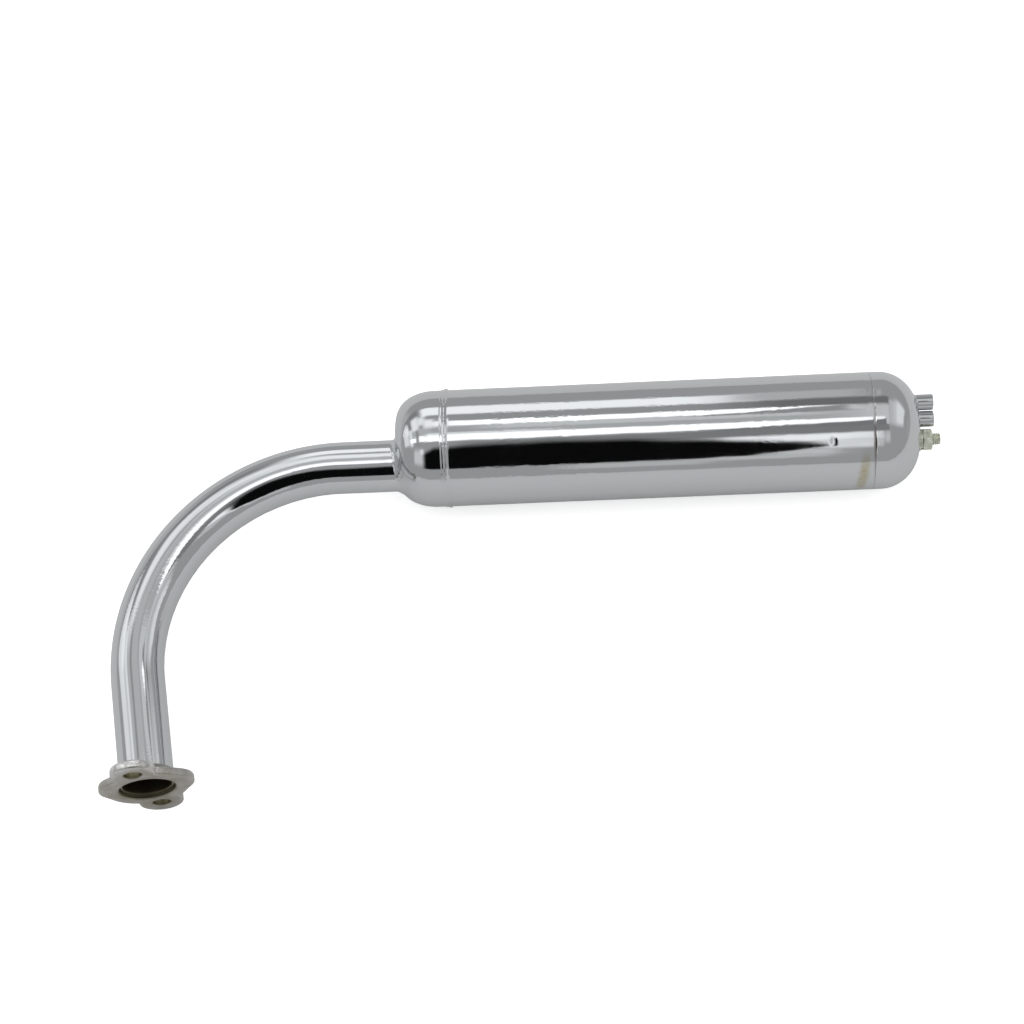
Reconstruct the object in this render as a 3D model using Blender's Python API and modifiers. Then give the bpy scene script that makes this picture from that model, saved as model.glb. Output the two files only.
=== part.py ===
"""Chrome two-stroke exhaust: a bent header pipe, a canister and its removable core.

Every size is in millimetres in the constants below and becomes metres on the way
into Blender. The design frame has the canister axis along +X, with zero at the
front dome's face; the whole exhaust hangs on one empty, which then moves so that
the middle of the bounding box's bottom face lies at the world origin.
"""

import math
from dataclasses import dataclass

import bmesh
import bpy
from mathutils import Vector

MM = 0.001
GAP = 0.3

# Canister
CANISTER_RADIUS = 28.6
CANISTER_WALL = 1.2
CANISTER_SIDES = 40
SHELL_FRONT = 26.7
SHELL_REAR = 230.6

# Front dome
FRONT_CORNER_LENGTH = 20.0
FRONT_FLAT_RADIUS = 14.0
FRONT_CORNER_POWER = 2.2
FRONT_DOME_END = 22.3
SEAM_BEAD_RADIUS = 29.4
SEAM_BEAD_ROOT = 27.4

# Rear cap
CAP_RIM = SHELL_REAR + 0.4
CAP_END = 254.5
REAR_CORNER_LENGTH = 19.0
REAR_FLAT_RADIUS = 8.0
REAR_CORNER_POWER = 2.0
SPIGOT_RADIUS = 27.1
SPIGOT_LENGTH = 8.0
DOME_STEPS = 8

# Header pipe
PIPE_RADIUS = 12.7
PIPE_WALL = 1.5
PIPE_OFFSET_Y = -9.2
PIPE_OFFSET_Z = 1.5
PIPE_INSIDE_DOME = 6.0
PIPE_STRAIGHT = 27.3
BEND_RADIUS = 96.0
BEND_ANGLE = math.radians(97.7)
BEND_STEPS = 20
LOWER_STRAIGHT = 53.6
PIPE_SETBACK = 2.0
PIPE_WELD_RADIUS = 15.2
PIPE_WELD_LENGTH = 3.0

# Flange
FLANGE_THICKNESS = 4.5
FLANGE_DISC_RADIUS = 19.4
FLANGE_BORE_RADIUS = PIPE_RADIUS + 0.35
STUD_SPACING = 41.5
STUD_HOLE_RADIUS = 4.2
STUD_LINE_TILT = math.radians(7.3)
STUD_LOBE_RADIUS = 10.3
SIDE_LOBE_OFFSET = 13.2
SIDE_LOBE_RADIUS = 9.0
LEFT_LOBE_ANGLE = math.radians(165.0)
RIGHT_LOBE_ANGLE = math.radians(8.0)
LOBE_BLEND_POWER = 14
OUTLINE_POINTS = 72
FLANGE_WELD_RADIUS = 16.0
FLANGE_WELD_LENGTH = 4.0

# Row of outlets and stud across the rear cap, measured from the canister axis
ROW_TILT = math.radians(28.0)
UPPER_OUTLET = 12.7
LOWER_OUTLET = 4.6
STUD_OFFSET = -5.4

# Outlet tubes
OUTLET_RADIUS = 3.9
OUTLET_WALL = 0.7
OUTLET_INNER_END = 196.0
OUTLET_OUTER_END = 262.0

# Tie rod, its bracket and its nuts
ROD_RADIUS = 3.0
ROD_START = 41.0
ROD_END = 265.0
ROD_CLEARANCE = 0.3
BRACKET_X = 50.0
BRACKET_THICKNESS = 3.0
BRACKET_WIDTH = 14.0
BRACKET_REACH = 24.0
BRACKET_TAB = 10.0
NUT_FLATS = 10.0
NUT_HEIGHT = 4.6
ANCHOR_NUT_X = BRACKET_X - GAP - NUT_HEIGHT
FLAT_WASHER_RADIUS = 5.8
FLAT_WASHER_HEIGHT = 0.6
LOCK_WASHER_RADIUS = 5.1
LOCK_WASHER_HEIGHT = 0.9
LOCK_WASHER_SPLIT = math.radians(16.0)
SEAT_GAP = 0.1

# Core
SLEEVE_RADIUS = 4.6
SLEEVE_BORE = 3.5
SLEEVE_START = 57.3
BAFFLE_RADIUS = 27.0
BAFFLE_SHEET = 1.0
BAFFLE_RIM = 5.0
BAFFLE_POSITIONS = {"front_baffle": 78.0, "middle_baffle": 140.0, "rear_baffle": 204.0}
BAFFLE_TUBE_OFFSET = 10.5
BAFFLE_TUBE_RADIUS = 8.0
BAFFLE_TUBE_WALL = 1.0
BAFFLE_TUBE_START = 70.0
BAFFLE_TUBE_END = 150.0
PERFORATION_RADIUS = 1.9
PERFORATION_PITCH = 9.0
PERFORATION_ROWS = 5
BLEED_RADIUS = 3.0
BLEED_OFFSET = 17.0


@dataclass(frozen=True)
class Finish:
    """Colour (linear), roughness and metallic value of one material."""

    name: str
    color: tuple[float, float, float]
    roughness: float
    metallic: float = 1.0

    def material(self) -> bpy.types.Material:
        """Return this finish's material, made the first time it is asked for."""
        found = bpy.data.materials.get(self.name)
        if found:
            return found
        made = bpy.data.materials.new(self.name)
        made.use_nodes = True
        shader = made.node_tree.nodes["Principled BSDF"]
        shader.inputs["Base Color"].default_value = (*self.color, 1.0)
        shader.inputs["Roughness"].default_value = self.roughness
        shader.inputs["Metallic"].default_value = self.metallic
        return made


CHROME = Finish("chrome_plate", (0.78, 0.79, 0.80), 0.08)
TARNISHED = Finish("tarnished_steel", (0.30, 0.29, 0.26), 0.42)
ZINC = Finish("zinc_plate", (0.56, 0.56, 0.52), 0.34)
BARE_STEEL = Finish("bare_steel", (0.36, 0.36, 0.37), 0.38)


def new_collection(name: str) -> bpy.types.Collection:
    """Make a collection and link it to the scene."""
    collection = bpy.data.collections.new(name)
    bpy.context.scene.collection.children.link(collection)
    return collection


def clear_scene() -> None:
    """Remove every object that the scene starts with."""
    for obj in list(bpy.data.objects):
        bpy.data.objects.remove(obj, do_unlink=True)


clear_scene()
PARTS = new_collection("racing_exhaust_system")
CUTTERS = new_collection("cutters")
FRAME = bpy.data.objects.new("exhaust_frame", None)
PARTS.objects.link(FRAME)


def on_row(offset: float) -> tuple[float, float]:
    """(y, z) of the point at this distance along the tilted row across the canister."""
    return offset * math.cos(ROW_TILT), offset * math.sin(ROW_TILT)


def place(obj, finish, location=(0, 0, 0), rotation=(0, 0, 0)):
    """Put an object of the exhaust in its place, in millimetres, and give it its finish."""
    obj.location = Vector(location) * MM
    obj.rotation_euler = rotation
    obj.parent = FRAME
    obj.data.materials.append(finish.material())
    PARTS.objects.link(obj)
    return obj


def turned(name, finish, profile, centre=(0, 0), sides=CANISTER_SIDES, solid=False):
    """A body turned about a line along X.

    Args:
        name: the object's name.
        finish: its Finish.
        profile: (x, radius) points, down the outer side from its +X end to its -X end
            and, unless solid, back along the inner side.
        centre: (y, z) of the line that it turns about.
        sides: facets round the body.
        solid: whether the profile starts and ends on the axis.
    """
    mesh = bpy.data.meshes.new(name)
    points = [(radius * MM, 0, x * MM) for x, radius in profile]
    edges = [(i, i + 1) for i in range(len(points) - 1)]
    if not solid:
        edges.append((len(points) - 1, 0))
    mesh.from_pydata(points, edges, [])
    obj = place(bpy.data.objects.new(name, mesh), finish, (0, *centre), (0, math.pi / 2, 0))
    screw = obj.modifiers.new("turn", "SCREW")
    screw.steps = screw.render_steps = sides
    screw.use_merge_vertices = True
    screw.merge_threshold = 0.00001
    return obj


def ring(name, finish, start, end, outer, inner, centre=(0, 0), sides=16):
    """A plain tube or washer between two places along X."""
    profile = [(end, outer), (start, outer), (start, inner), (end, inner)]
    return turned(name, finish, profile, centre, sides)


def cut_round(obj, radius, start, end, sides=20):
    """Cut a round hole between two points, in millimetres, from an object."""
    start, end = Vector(start), Vector(end)
    mesh = bpy.data.meshes.new("cutter")
    shape = bmesh.new()
    length = (end - start).length * MM
    bmesh.ops.create_cone(
        shape, cap_ends=True, segments=sides, radius1=radius * MM, radius2=radius * MM, depth=length
    )
    shape.to_mesh(mesh)
    shape.free()
    cutter = bpy.data.objects.new(f"{obj.name}_cutter", mesh)
    cutter.location = (start + end) / 2 * MM
    cutter.rotation_euler = (end - start).to_track_quat("Z", "Y").to_euler()
    cutter.parent = FRAME
    cutter.hide_render = True
    cutter.display_type = "WIRE"
    CUTTERS.objects.link(cutter)
    boolean = obj.modifiers.new("hole", "BOOLEAN")
    boolean.operation = "DIFFERENCE"
    boolean.object = cutter


def cut_along_x(obj, radius, centre, start, end, sides=20):
    """Cut a round hole that runs along X."""
    cut_round(obj, radius, (start, *centre), (end, *centre), sides)


def flat_plate(name, finish, outlines, thickness, location, rotation):
    """A flat plate: a filled 2D curve, extruded to both sides of its middle plane.

    Args:
        name: the object's name.
        finish: its Finish.
        outlines: closed outlines as lists of (x, y); those inside the first are holes.
        thickness: the plate's thickness.
        location: its middle.
        rotation: its rotation, as Euler angles.
    """
    curve = bpy.data.curves.new(name, "CURVE")
    curve.dimensions = "2D"
    curve.fill_mode = "BOTH"
    curve.extrude = thickness / 2 * MM
    for outline in outlines:
        spline = curve.splines.new("POLY")
        spline.points.add(len(outline) - 1)
        for point, (x, y) in zip(spline.points, outline):
            point.co = (x * MM, y * MM, 0, 1)
        spline.use_cyclic_u = True
    guide = bpy.data.objects.new(f"{name}_outline", curve)
    PARTS.objects.link(guide)
    bpy.context.view_layer.update()
    mesh = bpy.data.meshes.new_from_object(guide.evaluated_get(bpy.context.evaluated_depsgraph_get()))
    bpy.data.objects.remove(guide, do_unlink=True)
    mesh.name = name
    shape = bmesh.new()
    shape.from_mesh(mesh)
    bmesh.ops.remove_doubles(shape, verts=shape.verts, dist=0.000001)
    bmesh.ops.recalc_face_normals(shape, faces=shape.faces)
    shape.to_mesh(mesh)
    shape.free()
    mesh.materials.clear()
    return place(bpy.data.objects.new(name, mesh), finish, location, rotation)


def circle(radius, centre=(0.0, 0.0), points=24):
    """Points round a circle."""
    turns = [2 * math.pi * i / points for i in range(points)]
    return [(centre[0] + radius * math.cos(a), centre[1] + radius * math.sin(a)) for a in turns]


def rounded_end(flat, outer, length, power, steps=DOME_STEPS):
    """(depth behind the end face, radius) points down a pressed end's rounded corner."""
    points = []
    for i in range(steps + 1):
        turn = math.pi / 2 * i / steps
        radius = flat + (outer - flat) * math.sin(turn) ** (2 / power)
        points.append((length * (1 - math.cos(turn) ** (2 / power)), radius))
    return points


def header_pipe() -> None:
    """The tube: straight out of the dome, round the bend and down to the flange."""
    bend_start = -PIPE_STRAIGHT
    centre_y = PIPE_OFFSET_Y - BEND_RADIUS
    route = [(PIPE_INSIDE_DOME, PIPE_OFFSET_Y)]
    for i in range(BEND_STEPS + 1):
        turn = BEND_ANGLE * i / BEND_STEPS
        route.append((bend_start - BEND_RADIUS * math.sin(turn), centre_y + BEND_RADIUS * math.cos(turn)))
    end = flange_point(-PIPE_SETBACK)
    route.append((end[0], end[1]))
    curve = bpy.data.curves.new("header_pipe", "CURVE")
    curve.dimensions = "3D"
    curve.bevel_depth = PIPE_RADIUS * MM
    curve.bevel_resolution = 10
    spline = curve.splines.new("POLY")
    spline.points.add(len(route) - 1)
    for point, (x, y) in zip(spline.points, route):
        point.co = (x * MM, y * MM, PIPE_OFFSET_Z * MM, 1)
    pipe = place(bpy.data.objects.new("header_pipe", curve), CHROME)
    wall = pipe.modifiers.new("wall", "SOLIDIFY")
    wall.thickness = PIPE_WALL * MM
    wall.offset = -1
    wall.use_even_offset = True


def flange_point(beyond: float) -> tuple[float, float, float]:
    """A point on the lower pipe's line, this far beyond the flange's mating face."""
    along = LOWER_STRAIGHT + beyond
    x = -PIPE_STRAIGHT - BEND_RADIUS * math.sin(BEND_ANGLE) - along * math.cos(BEND_ANGLE)
    y = PIPE_OFFSET_Y - BEND_RADIUS * (1 - math.cos(BEND_ANGLE)) - along * math.sin(BEND_ANGLE)
    return x, y, PIPE_OFFSET_Z


FLANGE_TURN = BEND_ANGLE - math.pi / 2
FLANGE_ROTATION = (math.pi / 2, 0, FLANGE_TURN)


def lobe_reach(angle, lobe_angle, offset, radius):
    """How far a round lobe reaches from the bore's centre in this direction, or zero."""
    across = offset * math.sin(angle - lobe_angle)
    along = offset * math.cos(angle - lobe_angle)
    if abs(across) >= radius or along <= 0:
        return 0.0
    return along + math.sqrt(radius**2 - across**2)


def flange_outline():
    """The four-lobed outline: a disc, two stud lobes and two side lobes, blended."""
    stud_angle = math.pi / 2 + STUD_LINE_TILT
    lobes = [
        (stud_angle, STUD_SPACING / 2, STUD_LOBE_RADIUS),
        (stud_angle + math.pi, STUD_SPACING / 2, STUD_LOBE_RADIUS),
        (LEFT_LOBE_ANGLE, SIDE_LOBE_OFFSET, SIDE_LOBE_RADIUS),
        (RIGHT_LOBE_ANGLE, SIDE_LOBE_OFFSET, SIDE_LOBE_RADIUS),
    ]
    outline = []
    for i in range(OUTLINE_POINTS):
        angle = 2 * math.pi * i / OUTLINE_POINTS
        reaches = [FLANGE_DISC_RADIUS] + [lobe_reach(angle, *lobe) for lobe in lobes]
        far = sum(reach**LOBE_BLEND_POWER for reach in reaches) ** (1 / LOBE_BLEND_POWER)
        outline.append((far * math.cos(angle), far * math.sin(angle)))
    return outline


def header_flange() -> None:
    """The flange plate and the fillet weld behind it."""
    stud_angle = math.pi / 2 + STUD_LINE_TILT
    stud = (STUD_SPACING / 2 * math.cos(stud_angle), STUD_SPACING / 2 * math.sin(stud_angle))
    outlines = [
        flange_outline(),
        circle(FLANGE_BORE_RADIUS, points=28),
        circle(STUD_HOLE_RADIUS, stud, 16),
        circle(STUD_HOLE_RADIUS, (-stud[0], -stud[1]), 16),
    ]
    middle = flange_point(-FLANGE_THICKNESS / 2)
    flat_plate("header_flange", TARNISHED, outlines, FLANGE_THICKNESS, middle, FLANGE_ROTATION)

    bore = PIPE_RADIUS + GAP
    foot = FLANGE_WELD_RADIUS - 1.0
    profile = [
        (-GAP, FLANGE_WELD_RADIUS),
        (-1.2, foot),
        (-FLANGE_WELD_LENGTH, bore + 0.4),
        (-FLANGE_WELD_LENGTH, bore),
        (-GAP, bore),
    ]
    weld = turned("flange_weld", TARNISHED, profile, sides=28)
    weld.location = Vector(flange_point(-FLANGE_THICKNESS)) * MM
    weld.rotation_euler = FLANGE_ROTATION


def front_dome() -> None:
    """The pressed front end, with the hole for the pipe, and the pipe's fillet weld."""
    corner = rounded_end(FRONT_FLAT_RADIUS, CANISTER_RADIUS, FRONT_CORNER_LENGTH, FRONT_CORNER_POWER)
    inner = rounded_end(
        FRONT_FLAT_RADIUS - CANISTER_WALL / 2,
        CANISTER_RADIUS - CANISTER_WALL,
        FRONT_CORNER_LENGTH - CANISTER_WALL,
        FRONT_CORNER_POWER,
    )
    outside = [(FRONT_DOME_END, CANISTER_RADIUS)] + corner[::-1] + [(0, 0)]
    inside = [(CANISTER_WALL, 0)] + [(x + CANISTER_WALL, r) for x, r in inner]
    inside.append((FRONT_DOME_END, CANISTER_RADIUS - CANISTER_WALL))
    dome = turned("front_dome", CHROME, outside + inside)
    centre = (PIPE_OFFSET_Y, PIPE_OFFSET_Z)
    cut_along_x(dome, PIPE_RADIUS + GAP, centre, -5, FRONT_CORNER_LENGTH, 28)

    bore = PIPE_RADIUS + GAP
    profile = [
        (-GAP, PIPE_WELD_RADIUS),
        (-PIPE_WELD_LENGTH + 1.0, bore + 1.2),
        (-PIPE_WELD_LENGTH - GAP, bore + 0.3),
        (-PIPE_WELD_LENGTH - GAP, bore),
        (-GAP, bore),
    ]
    turned("pipe_weld", CHROME, profile, centre, 28)


def canister_shell() -> None:
    """The long tube and the raised weld ring that joins it to the front dome."""
    ring(
        "canister_shell", CHROME, SHELL_FRONT, SHELL_REAR, CANISTER_RADIUS,
        CANISTER_RADIUS - CANISTER_WALL, sides=CANISTER_SIDES,
    )
    start, end = FRONT_DOME_END + GAP, SHELL_FRONT - GAP
    middle = (start + end) / 2
    profile = [
        (end, CANISTER_RADIUS),
        (middle + 1.0, SEAM_BEAD_RADIUS - 0.15),
        (middle, SEAM_BEAD_RADIUS),
        (middle - 1.0, SEAM_BEAD_RADIUS - 0.15),
        (start, CANISTER_RADIUS),
        (start, SEAM_BEAD_ROOT),
        (end, SEAM_BEAD_ROOT),
    ]
    turned("front_seam_weld", CHROME, profile)


def rear_cap() -> None:
    """The removable pressed end, with its spigot and its three holes."""
    corner = rounded_end(REAR_FLAT_RADIUS, CANISTER_RADIUS, REAR_CORNER_LENGTH, REAR_CORNER_POWER)
    inner_radius = SPIGOT_RADIUS - CANISTER_WALL
    inner_length = REAR_CORNER_LENGTH - CANISTER_WALL
    inner = rounded_end(REAR_FLAT_RADIUS - CANISTER_WALL / 2, inner_radius, inner_length, REAR_CORNER_POWER)
    spigot_end = SHELL_REAR - SPIGOT_LENGTH
    outside = [(CAP_END, 0)] + [(CAP_END - x, r) for x, r in corner]
    spigot = [
        (CAP_RIM, CANISTER_RADIUS),
        (CAP_RIM, SPIGOT_RADIUS),
        (spigot_end, SPIGOT_RADIUS),
        (spigot_end, inner_radius),
    ]
    inside = [(CAP_END - CANISTER_WALL - x, r) for x, r in inner][::-1]
    cap = turned("rear_cap", CHROME, outside + spigot + inside + [(CAP_END - CANISTER_WALL, 0)])
    for offset in (UPPER_OUTLET, LOWER_OUTLET):
        cut_along_x(cap, OUTLET_RADIUS + 0.1, on_row(offset), CAP_RIM, CAP_END + 5, 16)
    cut_along_x(cap, ROD_RADIUS + ROD_CLEARANCE, on_row(STUD_OFFSET), CAP_RIM, CAP_END + 5, 16)


def outlet_tubes() -> None:
    """The two small tubes, one on the other, that carry the gas out of the rear cap."""
    for name, offset in (("outlet_tube_upper", UPPER_OUTLET), ("outlet_tube_lower", LOWER_OUTLET)):
        ring(
            name, CHROME, OUTLET_INNER_END, OUTLET_OUTER_END, OUTLET_RADIUS,
            OUTLET_RADIUS - OUTLET_WALL, on_row(offset),
        )


def hex_nut(name, start) -> None:
    """A hexagon nut on the tie rod's line, with its front face at this x."""
    corner = NUT_FLATS / math.sqrt(3)
    outlines = [circle(corner, points=6), circle(ROD_RADIUS + ROD_CLEARANCE, points=16)]
    middle = (start + NUT_HEIGHT / 2, *on_row(STUD_OFFSET))
    flat_plate(name, ZINC, outlines, NUT_HEIGHT, middle, (math.pi / 2, 0, math.pi / 2))


def tie_rod() -> None:
    """The long stud, the strap that it pulls against and the nut that holds it there."""
    line = on_row(STUD_OFFSET)
    tip = ROD_RADIUS - 0.9
    profile = [
        (ROD_END, 0), (ROD_END, tip), (ROD_END - 0.9, ROD_RADIUS),
        (ROD_START + 0.9, ROD_RADIUS), (ROD_START, tip), (ROD_START, 0),
    ]
    turned("tie_rod", ZINC, profile, line, 16, solid=True)

    back, front = BRACKET_THICKNESS, 0.0
    outline = [
        (front, -BRACKET_REACH), (front, BRACKET_REACH), (front + BRACKET_TAB, BRACKET_REACH),
        (front + BRACKET_TAB, BRACKET_REACH - BRACKET_THICKNESS), (back, BRACKET_REACH - BRACKET_THICKNESS),
        (back, BRACKET_THICKNESS - BRACKET_REACH), (front + BRACKET_TAB, BRACKET_THICKNESS - BRACKET_REACH),
        (front + BRACKET_TAB, -BRACKET_REACH),
    ]
    bracket = flat_plate(
        "anchor_bracket", BARE_STEEL, [outline], BRACKET_WIDTH,
        (BRACKET_X, *line), (math.pi / 2 + ROW_TILT, 0, 0),
    )
    cut_along_x(bracket, ROD_RADIUS + ROD_CLEARANCE, line, BRACKET_X - 5, BRACKET_X + 8, 16)
    hex_nut("anchor_nut", ANCHOR_NUT_X)


def cap_fasteners() -> None:
    """The flat washer, the split lock washer and the nut that hold the rear cap on."""
    line = on_row(STUD_OFFSET)
    bore = ROD_RADIUS + ROD_CLEARANCE
    flat_start = CAP_END + SEAT_GAP
    flat_end = flat_start + FLAT_WASHER_HEIGHT
    ring("flat_washer", ZINC, flat_start, flat_end, FLAT_WASHER_RADIUS, bore, line, 20)

    lock_start = flat_end + SEAT_GAP
    steps = 18
    sweep = 2 * math.pi - LOCK_WASHER_SPLIT
    turns = [LOCK_WASHER_SPLIT / 2 + sweep * i / steps for i in range(steps + 1)]
    outline = [(LOCK_WASHER_RADIUS * math.cos(a), LOCK_WASHER_RADIUS * math.sin(a)) for a in turns]
    outline += [(bore * math.cos(a), bore * math.sin(a)) for a in reversed(turns)]
    flat_plate(
        "lock_washer", ZINC, [outline], LOCK_WASHER_HEIGHT,
        (lock_start + LOCK_WASHER_HEIGHT / 2, *line), (math.pi / 2, 0, math.pi / 2),
    )
    hex_nut("rear_nut", lock_start + LOCK_WASHER_HEIGHT + SEAT_GAP)


def silencer_core() -> None:
    """The sleeve, the three baffles and the perforated tube that leave with the rear cap."""
    line = on_row(STUD_OFFSET)
    tube_line = on_row(BAFFLE_TUBE_OFFSET)
    sleeve_end = CAP_END - CANISTER_WALL - GAP
    ring("rod_sleeve", BARE_STEEL, SLEEVE_START, sleeve_end, SLEEVE_RADIUS, SLEEVE_BORE, line)
    for name, x in BAFFLE_POSITIONS.items():
        rim = BAFFLE_RADIUS - BAFFLE_SHEET
        profile = [
            (x + BAFFLE_RIM, BAFFLE_RADIUS), (x + 1.0, BAFFLE_RADIUS), (x, BAFFLE_RADIUS - 1.0),
            (x, 0), (x + BAFFLE_SHEET, 0), (x + BAFFLE_SHEET, rim), (x + BAFFLE_RIM, rim),
        ]
        baffle = turned(name, BARE_STEEL, profile, sides=32)
        start, end = x - 2, x + BAFFLE_SHEET + 2
        cut_along_x(baffle, SLEEVE_RADIUS + GAP, line, start, end, 16)
        if name == "rear_baffle":
            for offset in (UPPER_OUTLET, LOWER_OUTLET):
                cut_along_x(baffle, OUTLET_RADIUS + 0.1, on_row(offset), start, end, 16)
        else:
            cut_along_x(baffle, BAFFLE_TUBE_RADIUS + GAP, tube_line, start, end)
        cut_along_x(baffle, BLEED_RADIUS, on_row(-BLEED_OFFSET), start, end, 12)

    tube = ring(
        "baffle_tube", BARE_STEEL, BAFFLE_TUBE_START, BAFFLE_TUBE_END, BAFFLE_TUBE_RADIUS,
        BAFFLE_TUBE_RADIUS - BAFFLE_TUBE_WALL, tube_line, 20,
    )
    first = (BAFFLE_POSITIONS["front_baffle"] + BAFFLE_POSITIONS["middle_baffle"]) / 2
    first -= PERFORATION_PITCH * (PERFORATION_ROWS - 1) / 2
    reach = BAFFLE_TUBE_RADIUS + 2
    for row in range(PERFORATION_ROWS):
        x = first + PERFORATION_PITCH * row
        for y, z in ((reach, 0), (0, reach)):
            start = (x, tube_line[0] - y, tube_line[1] - z)
            end = (x, tube_line[0] + y, tube_line[1] + z)
            cut_round(tube, PERFORATION_RADIUS, start, end, 8)


def seat_on_origin() -> None:
    """Move the frame so that the bounding box's bottom centre is the world origin."""
    bpy.context.view_layer.update()
    graph = bpy.context.evaluated_depsgraph_get()
    corners = []
    for obj in PARTS.objects:
        if obj.type == "EMPTY":
            continue
        placed = obj.evaluated_get(graph)
        mesh = placed.to_mesh()
        corners += [placed.matrix_world @ vertex.co for vertex in mesh.vertices]
        placed.to_mesh_clear()
    low = Vector([min(corner[i] for corner in corners) for i in range(3)])
    high = Vector([max(corner[i] for corner in corners) for i in range(3)])
    FRAME.location = (-(low.x + high.x) / 2, -(low.y + high.y) / 2, -low.z)
    print("size in mm:", [round(side / MM, 2) for side in high - low])
    print("design frame's zero in mm:", [round(side / MM, 3) for side in FRAME.location])


header_pipe()
header_flange()
front_dome()
canister_shell()
rear_cap()
outlet_tubes()
tie_rod()
cap_fasteners()
silencer_core()
seat_on_origin()
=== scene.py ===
"""Looks of the chrome two-stroke exhaust, built round its fixed CAD frame.

The frame gives every place and every outside size. Each class below makes one
sub-assembly from its own sizes in millimetres, measured from the design's zero: the
middle of the front dome's face, with the canister's axis along +X. The studio, its
floor and the camera follow at the end.
"""

from __future__ import annotations

import logging
import math
from collections.abc import Callable, Mapping, Sequence
from dataclasses import dataclass, field
from enum import Enum

import bmesh
import bpy
import numpy as np
from mathutils import Matrix, Vector


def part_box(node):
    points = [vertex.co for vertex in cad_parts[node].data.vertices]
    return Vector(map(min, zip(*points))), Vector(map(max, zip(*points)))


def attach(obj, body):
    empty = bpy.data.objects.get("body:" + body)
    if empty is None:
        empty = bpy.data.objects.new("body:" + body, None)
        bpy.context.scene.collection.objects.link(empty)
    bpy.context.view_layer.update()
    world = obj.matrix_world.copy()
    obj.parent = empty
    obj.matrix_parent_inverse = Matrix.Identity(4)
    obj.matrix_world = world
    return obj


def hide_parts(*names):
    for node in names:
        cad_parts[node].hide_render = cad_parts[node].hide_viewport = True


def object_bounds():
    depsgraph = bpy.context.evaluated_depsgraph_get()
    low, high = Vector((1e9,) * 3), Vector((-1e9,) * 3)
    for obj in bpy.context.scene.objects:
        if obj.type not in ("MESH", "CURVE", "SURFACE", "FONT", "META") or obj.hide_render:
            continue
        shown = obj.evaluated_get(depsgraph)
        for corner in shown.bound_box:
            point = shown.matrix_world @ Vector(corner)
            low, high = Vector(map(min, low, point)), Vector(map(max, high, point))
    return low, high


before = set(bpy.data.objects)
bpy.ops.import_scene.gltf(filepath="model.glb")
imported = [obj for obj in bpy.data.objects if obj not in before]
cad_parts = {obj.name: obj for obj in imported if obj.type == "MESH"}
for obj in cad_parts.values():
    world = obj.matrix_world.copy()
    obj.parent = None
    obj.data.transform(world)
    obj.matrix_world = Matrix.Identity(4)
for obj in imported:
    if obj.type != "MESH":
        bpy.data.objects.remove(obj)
CAD_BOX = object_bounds()

MM = 0.001
FULL_TURN = 2 * math.pi
SEED = 11

LOG = logging.getLogger("exhaust")

Shift = Callable[[np.ndarray, np.ndarray], np.ndarray]


class Slot(Enum):
    """The record's material slots."""

    CHROME = "chrome_plate"
    TARNISHED = "tarnished_steel"
    ZINC = "zinc_plate"
    STEEL = "bare_steel"


class Body(Enum):
    """The bodies that move on their own."""

    CANISTER = "header_and_canister"
    CORE = "cap_and_core"
    LOCK_WASHER = "lock_washer"
    REAR_NUT = "rear_nut"


class Mark(Enum):
    """Values that a mesh carries for its material, from 0 to 1."""

    INSIDE = "inside"
    # Where a painted highlight lies on the flange's edges, strongest towards the top.
    PAINTED_HIGHLIGHT = "burnish"
    STAIN = "stain"
    RUST = "rust"


# --------------------------------------------------------------------------- shapes


@dataclass(frozen=True)
class Datum:
    """Where the design's zero lies in the row frame, in metres."""

    x: float
    y: float
    z: float

    @classmethod
    def from_frame(cls) -> Datum:
        """Read the zero from the front dome's face and the shell's middle line."""
        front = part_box("front_dome")[0]
        low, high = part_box("canister_shell")
        return cls(front.x, (low.y + high.y) / 2, (low.z + high.z) / 2)

    def place(self, points: np.ndarray) -> np.ndarray:
        """Return design points in millimetres as row-frame points in metres."""
        return points * MM + np.array([self.x, self.y, self.z])


DATUM = Datum.from_frame()


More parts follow.
